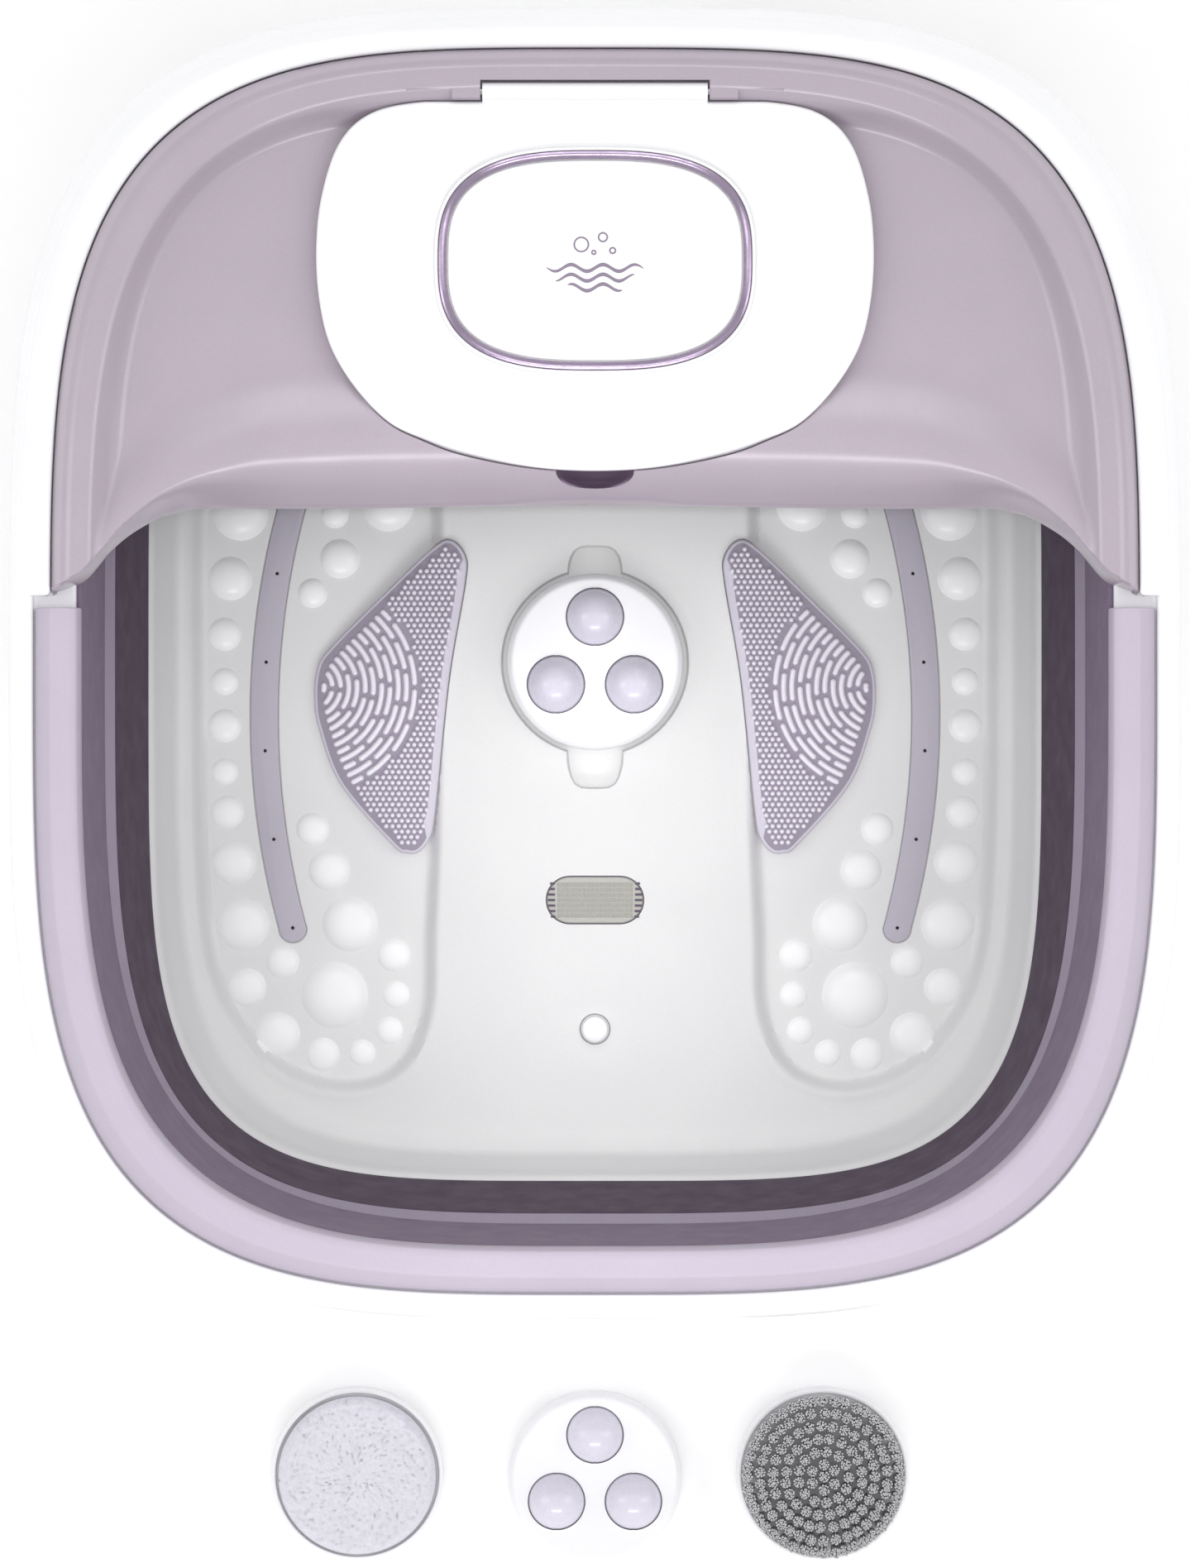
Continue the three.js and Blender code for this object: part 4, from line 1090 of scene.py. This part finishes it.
def guard_skin():
    """The guard as a closed sheet, in rows along the basin's rings, each cut off at the front edge."""
    rings = np.concatenate([np.arange(43, 154, 1.5), BEAD[:, 0]])
    between = np.concatenate([np.linspace(p, q, 3)[1:-1] for p, q in zip(BEAD[:-1, 0], BEAD[1:, 0])])
    rings = np.unique(np.concatenate([rings, between]))
    columns = 420
    u = np.linspace(0, 1, columns)
    share = 0.45 * u + 0.55 * (0.5 - 0.5 * np.cos(math.pi * u))
    t = np.linspace(0, math.pi / 2, 6001)
    rows = []
    for a in rings:
        x, y = ring_points(a, t)
        below = np.nonzero(y < GUARD_FRONT(np.abs(x)))[0]
        start = below[-1] + 1 if len(below) else 0
        if start >= len(t) - 2:
            continue
        # The exact crossing with the front edge.
        x0, y0 = ring_points(a, np.array([t[start - 1], t[start]]))
        gap = y0 - GUARD_FRONT(np.abs(x0))
        t0 = t[start - 1] + (t[start] - t[start - 1]) * (-gap[0]) / (gap[1] - gap[0])
        half = np.concatenate([[t0], t[start:]])
        whole = np.concatenate([half, math.pi - half[::-1][1:]])
        x, y = ring_points(a, whole)
        run = length_along(x, y)
        rows.append((a, np.interp(share * run[-1], run, x), np.interp(share * run[-1], run, y)))
    a = np.array([row[0] for row in rows])[:, None] * np.ones(columns)
    x = np.array([row[1] for row in rows])
    y = np.array([row[2] for row in rows])
    y[0] = GUARD_FRONT(np.abs(x[0]))
    top = guard_top(x, y, a)
    edge = np.clip((y - GUARD_FRONT(np.abs(x))) / 1.6, 0, 1)
    bottom = top - GUARD_THICKNESS + 1.5 * (1 - edge)
    under_lid = distance_to(lid_outline(3.5, 120), x, y) < 0
    bottom = np.where(under_lid, np.minimum(bottom, lid_bottom(x, y) - 3.4), bottom)
    bottom = np.where(a >= 176.3, LEDGE_Z + 0.4, bottom)
    high = np.stack([x, y, top], -1)
    low = np.stack([x, y, bottom], -1)
    # Each row runs out over the top and back underneath; strips of quads close the first and last row.
    points, faces = net(np.concatenate([high, low[:, ::-1]], axis=1), capped=False)
    last = 2 * columns - 1
    for start in (0, (len(rows) - 1) * 2 * columns):
        for j in range(columns - 1):
            strip = [start + j, start + j + 1, start + last - 1 - j, start + last - j]
            faces.append(strip if start else strip[::-1])
    return points, faces


def make_splash_guard():
    made = loose_object("guard_skin", guard_skin())
    hinge_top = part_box("lid_hinge_pin")[0].z / MM + 3.3
    carve(made, block((-47, 47), (181, 192.5), (197, hinge_top)), "UNION")
    carve(made, filled(lid_outline(0.5), lambda x, y: lid_bottom(x, y) - FIT, flat(TOOL_TOP), rings=30))
    carve(made, prism(oval(TRAY_HOLE_HALF, TRAY_POWER, 160, (0, TRAY_Y)), 150, TOOL_TOP))
    carve(made, prism(oval((13, 6.2), SCOOP_POWER, 60, (0, SCOOP_Y)), 180, TOOL_TOP))
    carve(made, block((-TONGUE_HALF - 0.7, TONGUE_HALF + 0.7), (180, 191.2), (203.4, TOOL_TOP)))
    # Room for the lid's back edge as it swings up.
    carve(made, block((-62, 62), (180, 188.4), (hinge_top, TOOL_TOP)))
    carve(made, block((-62, 62), (180, 185.3), (LID_TOP_Z + 1, TOOL_TOP)))
    carve(made, rod_along_x(1.65, (-45, 45), HINGE_Y, LID_TOP_Z))
    piece(made, "guard", LAVENDER, ["splash_guard"], angle=35)


def make_scoop():
    """The dish in front of the lid, for a finger to lift it, in a darker purple than the guard as painted
    shade in the recess.
    """
    outline = oval(SCOOP_HALF, SCOOP_POWER, 64, (0, SCOOP_Y))

    def height(x, y):
        out = np.clip(np.hypot(x / SCOOP_HALF[0], (y - SCOOP_Y) / SCOOP_HALF[1]), 0, 1)
        rim = np.minimum(guard_top(x, y, ring_of(x, np.abs(y))), lid_bottom(x, y) - FIT)
        return rim - 0.25 - SCOOP_DEPTH * (1 - out ** 3)

    shape = filled(outline, lambda x, y: height(x, y) - 1.6, height, rings=16)
    build("finger_scoop", shape, "guard", SCOOP_SHADE)


def make_tray():
    halves = ((85, 51), (82.3, 48.3), TRAY_HOLE_HALF)
    flange, tub, inner = (oval(half, TRAY_POWER, 160, (0, TRAY_Y)) for half in halves)
    rows = [(tub, 3, 168), (tub, 0.8, 169), (tub, 0, 171.5), (tub, 0, 194), (flange, 0, 194),
            (flange, 0, 195.6), (flange, 0.5, 196), (inner, -0.6, 196), (inner, 0, 195.4), (inner, 0, 174),
            (inner, 1.4, 171.2), (inner, 4, 170.2)]
    shape = net([lifted(inset(loop, distance), z) for loop, distance, z in rows])
    build("storage_tray_tub", shape, "guard", WHITE, ["storage_tray"])


def make_lid():
    made = loose_object("lid_skin", filled(lid_outline(), lid_bottom, lid_top, round_edge(1.3), rings=34))
    width = (-TONGUE_HALF, TONGUE_HALF)
    carve(made, block(width, (180, HINGE_Y), (LID_TOP_Z - LID_THICKNESS, LID_TOP_Z)), "UNION")
    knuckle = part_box("storage_lid")[1].z / MM - LID_TOP_Z
    carve(made, rod_along_x(knuckle, width, HINGE_Y, LID_TOP_Z, 64), "UNION")
    carve(made, rod_along_x(1.75, (-50, 50), HINGE_Y, LID_TOP_Z, 32))
    piece(made, "lid", WHITE, ["storage_lid"], angle=30)


MEDALLION_HALF = (52.8, 37.3)
MEDALLION_POWER = 2.8
WAVE_HALVES = (16, 13, 9)
BUBBLES = ((-4.5, 5.2, 2.6), (2.6, 7.6, 1.7), (5.8, 3.2, 1.2), (-0.4, 2.6, 0.9))    # (x, y, radius)
MARK_SUNK = 0.1            # the mark reaches this far into the plate
MARK_PROUD = 0.08          # and stands this far out of it


def make_medallion():
    low, high = bottom_of("medallion_ring"), top_of("medallion_ring")
    outline = oval(MEDALLION_HALF, MEDALLION_POWER, 260, (0, MEDALLION_Y))
    lip = [(0, low), (0, high - 0.9), (0.35, high - 0.45), (0.9, high - 0.35), (1.15, high - 0.7),
           (1.15, low)]
    band = [(1.2, low), (1.2, high - 0.8), (1.5, high - 0.25), (2.1, high), (2.7, high - 0.15),
            (3.4, high - 0.8), (3.95, high - 1.3), (3.95, low)]
    build("medallion_lip", pillow(outline, lip, closed_rows=True), "lid", WHITE)
    build("medallion_band", pillow(outline, band, closed_rows=True), "lid", METAL,
          ["medallion_ring"])
    plate = inset(outline, 4.4)
    base, crown = bottom_of("medallion_plate"), top_of("medallion_plate")

    def dome(x, y):
        out = np.hypot(x / MEDALLION_HALF[0], (y - MEDALLION_Y) / MEDALLION_HALF[1])
        return crown - 0.35 * out ** 2

    face = filled(plate, flat(base), dome, round_edge(0.6), 16)
    build("medallion_face", face, "lid", WHITE, ["medallion_plate"])
    make_mark(dome)


def make_mark(dome):
    """Three waves and a few bubbles, printed on the plate."""
    shapes = []

    def printed(outline):
        z = dome(outline[:, 0], outline[:, 1])
        return prism(outline, z - MARK_SUNK, z + MARK_PROUD)

    angle = circle(40)
    ring = np.column_stack([np.cos(angle), np.sin(angle)])
    for row, half in enumerate(WAVE_HALVES):
        x = np.linspace(-half, half, 70)
        y = MEDALLION_Y - 2.5 + row * -3.2 + 1.1 * np.sin(x * 2 * math.pi / 10.5)
        width = 0.62 * np.sqrt(np.clip(1 - (x / half) ** 4, 0.02, 1))
        outline = np.vstack([np.column_stack([x, y - width]), np.column_stack([x, y + width])[::-1]])
        shapes.append(printed(outline))
    for x, y, radius in BUBBLES:
        centre = (x, MEDALLION_Y + y)
        outer, inner = ring * radius + centre, ring * (radius - 0.55) + centre
        z = float(dome(*centre))
        section = ((outer, z - MARK_SUNK), (outer, z + MARK_PROUD), (inner, z + MARK_PROUD),
                   (inner, z - MARK_SUNK))
        shapes.append(net([lifted(loop, level) for loop, level in section], closed_rows=True))
    build("medallion_mark", merge(*shapes), "lid", MARK)


# ---- treatment heads ----

HEAD_SEGMENTS = 128


def ball_places(x, y, z):
    for degrees in (90, 210, 330):
        angle = math.radians(degrees)
        yield x + BALL_RING * math.cos(angle), y + BALL_RING * math.sin(angle), z + BALL_Z


def ball_shape(x, y, z, radius=BALL_RADIUS):
    """A ball turned about X, with a fine parting line round its middle."""
    latitude = np.linspace(-0.497, 0.497, 41) * math.pi
    profile = []
    for angle in latitude:
        groove = 0.12 * math.exp(-(angle / 0.03) ** 2)
        profile.append(((radius - groove) * math.cos(angle), (radius - groove) * math.sin(angle)))
    points, faces = turned(profile)
    return np.column_stack([points[:, 2] + x, points[:, 0] + y, points[:, 1] + z]), faces


def make_roller(prefix, name):
    x, y = place_of(f"{prefix}_base")
    z = bottom_of(f"{prefix}_base")
    base = rounded([(0.5, 0), (29, 0), (HEAD_RADIUS, 1.5), (HEAD_RADIUS, 8), (0.5, 8)], 0.7, 3, closed=False)
    corners = [(0.5, 8.4), (HEAD_RADIUS, 8.4), (HEAD_RADIUS, 13.6), (28.4, 16), (0.5, 16)]
    cover = rounded(corners, 1.0, 5, closed=False)
    for part, profile in (("base", base), ("cover", cover)):
        shape = turned([(r, h + z) for r, h in profile], HEAD_SEGMENTS, (x, y))
        made = loose_object(f"{name}_{part}_shell", shape)
        for at in ball_places(x, y, z):
            carve(made, ball_shape(*at, radius=BALL_RADIUS + BALL_GAP))
        piece(made, prefix, WHITE, [f"{prefix}_{part}"], 35)
    for index, at in enumerate(ball_places(x, y, z), 1):
        ball = f"{prefix}_ball_{index}"
        build(f"{name}_ball_skin_{index}", ball_shape(*at), ball, BALL, [ball], 60)


def make_holder(node, body, name):
    x, y = place_of(node)
    profile = rounded([(0.5, 0), (29, 0), (HEAD_RADIUS, 1.5), (HEAD_RADIUS, 11.5), (29.6, 12.5),
                       (28.6, 12.3), (28.6, 9), (0.5, 9)], 0.6, 4, closed=False)
    build(name, turned(profile, HEAD_SEGMENTS, (x, y)), body, WHITE, [node])


PUMICE_RADIUS = 27.5


def make_pumice():
    """A low dome with coarse waves and small pits on its top."""
    x0, y0 = place_of("pumice_stone")
    top = top_of("pumice_stone")
    radius, around = PUMICE_RADIUS, 220
    angle = circle(around)
    profile = [(radius, 9.4), (radius, 15), (radius - 0.4, 16.2), (radius - 1.3, 17.1)]
    profile += [(r, top - 0.9 * (r / radius) ** 2) for r in np.linspace(radius - 2.4, 0.4, 46)]
    rows = np.array([np.column_stack([x0 + r * np.cos(angle), y0 + r * np.sin(angle), np.full(around, z)])
                     for r, z in profile])
    for row in rows[2:]:
        for point in row:
            place = Vector(point)
            coarse = noise.noise(place * 0.55)
            out = math.hypot(point[0] - x0, point[1] - y0) / radius
            pit = max(0, noise.noise(place * 1.15 + Vector((7, 3, 1))) - 0.33 + 0.12 * out)
            point[2] += 0.18 * coarse - 2.6 * pit
    build("pumice_disc", net(rows), "pumice_head", PUMICE, ["pumice_stone"], 70)


TUFT_RINGS = [1, 6, 13, 20, 27, 34, 44]
TUFT_PITCH = 4.3
BRISTLES_IN_RING = [1, 6, 11]
HAIR_SIDES = 5
TUFT_FOOT_Z = 11.4         # hair lengths are measured from here
HAIR_ROOT_Z = 11.2         # but hairs reach down to here, inside the bed


def make_brush():
    """Rings of tufts, each a bundle of hairs that lean outwards and end unevenly."""
    x0, y0 = place_of("brush_bristles")
    random = np.random.default_rng(11)
    top = top_of("brush_bristles")
    bed = [(0.5, 9.4), (26.8, 9.4), (27.2, 10), (27.2, 11.2), (26.6, 11.8), (0.5, 11.8)]
    build("brush_bed", turned(bed, 96, (x0, y0)), "brush_head", BRISTLE_BED)
    corner = circle(HAIR_SIDES)
    hairs_made = []
    for ring_index, tufts in enumerate(TUFT_RINGS):
        ring_radius = ring_index * TUFT_PITCH
        for k in range(tufts):
            angle = FULL_TURN * (k + 0.5 * (ring_index % 2)) / tufts + random.uniform(-0.02, 0.02)
            centre = np.array([ring_radius * math.cos(angle), ring_radius * math.sin(angle)])
            lean = centre * 0.035 + random.normal(0, 0.12, 2)
            length = top - TUFT_FOOT_Z - random.uniform(0, 0.7)
            for hair_ring, hairs in enumerate(BRISTLES_IN_RING):
                for h in range(hairs):
                    spin = FULL_TURN * (h + random.uniform(-0.2, 0.2)) / hairs
                    out = np.array([math.cos(spin), math.sin(spin)]) * hair_ring
                    foot = centre + out * 0.5
                    tip = centre + lean + out * 0.78 + random.normal(0, 0.09, 2)
                    height = TUFT_FOOT_Z + length - 0.28 * hair_ring - random.uniform(0, 0.5)
                    half_way = (foot + tip) / 2
                    levels = ((foot, HAIR_ROOT_Z, 0.36), (half_way, (HAIR_ROOT_Z + height) / 2, 0.4),
                              (tip, height - 0.25, 0.42), (tip, height, 0.2))
                    hairs_made.append(net([np.column_stack([x0 + place[0] + r * np.cos(corner),
                                                            y0 + place[1] + r * np.sin(corner),
                                                            np.full(HAIR_SIDES, z)])
                                           for place, z, r in levels]))
    build("brush_tufts", merge(*hairs_made), "brush_head", BRISTLE, ["brush_bristles"], 60)


# ---- studio ----

CAMERA_HEIGHT = 3          # metres above the rim
CAMERA_Y = 0.008
CAMERA_LENS = 276
WORLD_STRENGTH = 0.78
SPOT_WATTS = 290
SPOT_DEGREES = 6


def make_camera():
    """Looks straight down on the basin and its heads, as the photograph does."""
    data = bpy.data.cameras.new("camera")
    data.sensor_fit = "HORIZONTAL"
    data.sensor_width = 36
    data.lens = CAMERA_LENS
    data.clip_end = 50
    camera = bpy.data.objects.new("camera", data)
    low, high = cad_box
    rim = top_of("splash_guard") * MM - 0.005
    camera.location = ((low.x + high.x) / 2, CAMERA_Y, rim + CAMERA_HEIGHT)
    bpy.context.scene.collection.objects.link(camera)
    bpy.context.scene.camera = camera


def make_light(name, kind, place, target, power, glossy=True, **settings):
    data = bpy.data.lights.new(name, kind)
    data.energy = power
    for key, value in settings.items():
        setattr(data, key, value)
    lamp = bpy.data.objects.new(name, data)
    lamp.location = place
    lamp.rotation_euler = (Vector(target) - Vector(place)).to_track_quat("-Z", "Y").to_euler()
    lamp.visible_glossy = glossy
    bpy.context.scene.collection.objects.link(lamp)


# Each softbox: name, place, target, (width, height) in metres, watts, and whether shiny surfaces show it.
SOFTBOXES = [
    ("front_softbox", (0, -1.7, 1.9), (0, 0, 0.15), (1.6, 0.4), 13, True),
    ("back_softbox", (0, 1.9, 2.0), (0, 0, 0.15), (1.6, 0.7), 8, True),
    ("left_softbox", (-2.0, 0, 1.8), (0, 0, 0.15), (0.7, 1.6), 7, True),
    ("right_softbox", (2.0, 0, 1.8), (0, 0, 0.15), (0.7, 1.6), 7, True),
    ("overhead_softbox", (0, 0, 3.6), (0, 0, 0), (0.9, 0.9), 12, False),
]


def make_studio():
    scene = bpy.context.scene
    scene.view_settings.view_transform = "Standard"
    scene.view_settings.look = "None"
    world = bpy.data.worlds.new("studio")
    world.use_nodes = True
    sky = world.node_tree.nodes["Background"].inputs
    sky["Color"].default_value = (1, 1, 1, 1)
    sky["Strength"].default_value = WORLD_STRENGTH
    scene.world = world
    for name, place, target, (width, height), power, glossy in SOFTBOXES:
        make_light(name, "AREA", place, target, power, glossy, shape="RECTANGLE", size=width, size_y=height)
    # The pan's middle is the brightest place.
    make_light("centre_spot", "SPOT", (0, -0.03, 3.3), (0, -0.03, 0), SPOT_WATTS, glossy=False,
               spot_size=math.radians(SPOT_DEGREES), spot_blend=1, shadow_soft_size=0.12)
    reach = (-3000, 3000)
    floor = loose_object("studio_floor", block(reach, reach, (-6, -0.1)))
    set_looks(floor, FLOOR)


# ---- the assembly ----

slot_of = {row["node"]: row["material_slot"] for row in frame["record"]["subparts"]}
for node_name, node_object in frame["nodes"].items():
    set_looks(node_object, NODE_LOOKS[slot_of[node_name]])

make_camera()
make_studio()
make_base_shell()
make_cord_gland()
make_tub_pan()
make_bellows()
for side_name, side_sign in (("left", -1), ("right", 1)):
    make_scrubber(side_sign, side_name)
    make_strip(side_sign, side_name)
make_lens()
make_toe_button()
make_upper_shell()
make_rim_liner()
make_splash_guard()
make_scoop()
make_tray()
make_lid()
make_medallion()
for roller_name in ("docked", "loose"):
    make_roller(f"{roller_name}_roller", roller_name)
make_holder("pumice_holder", "pumice_head", "pumice_cup")
make_pumice()
make_holder("brush_holder", "brush_head", "brush_cup")
make_brush()
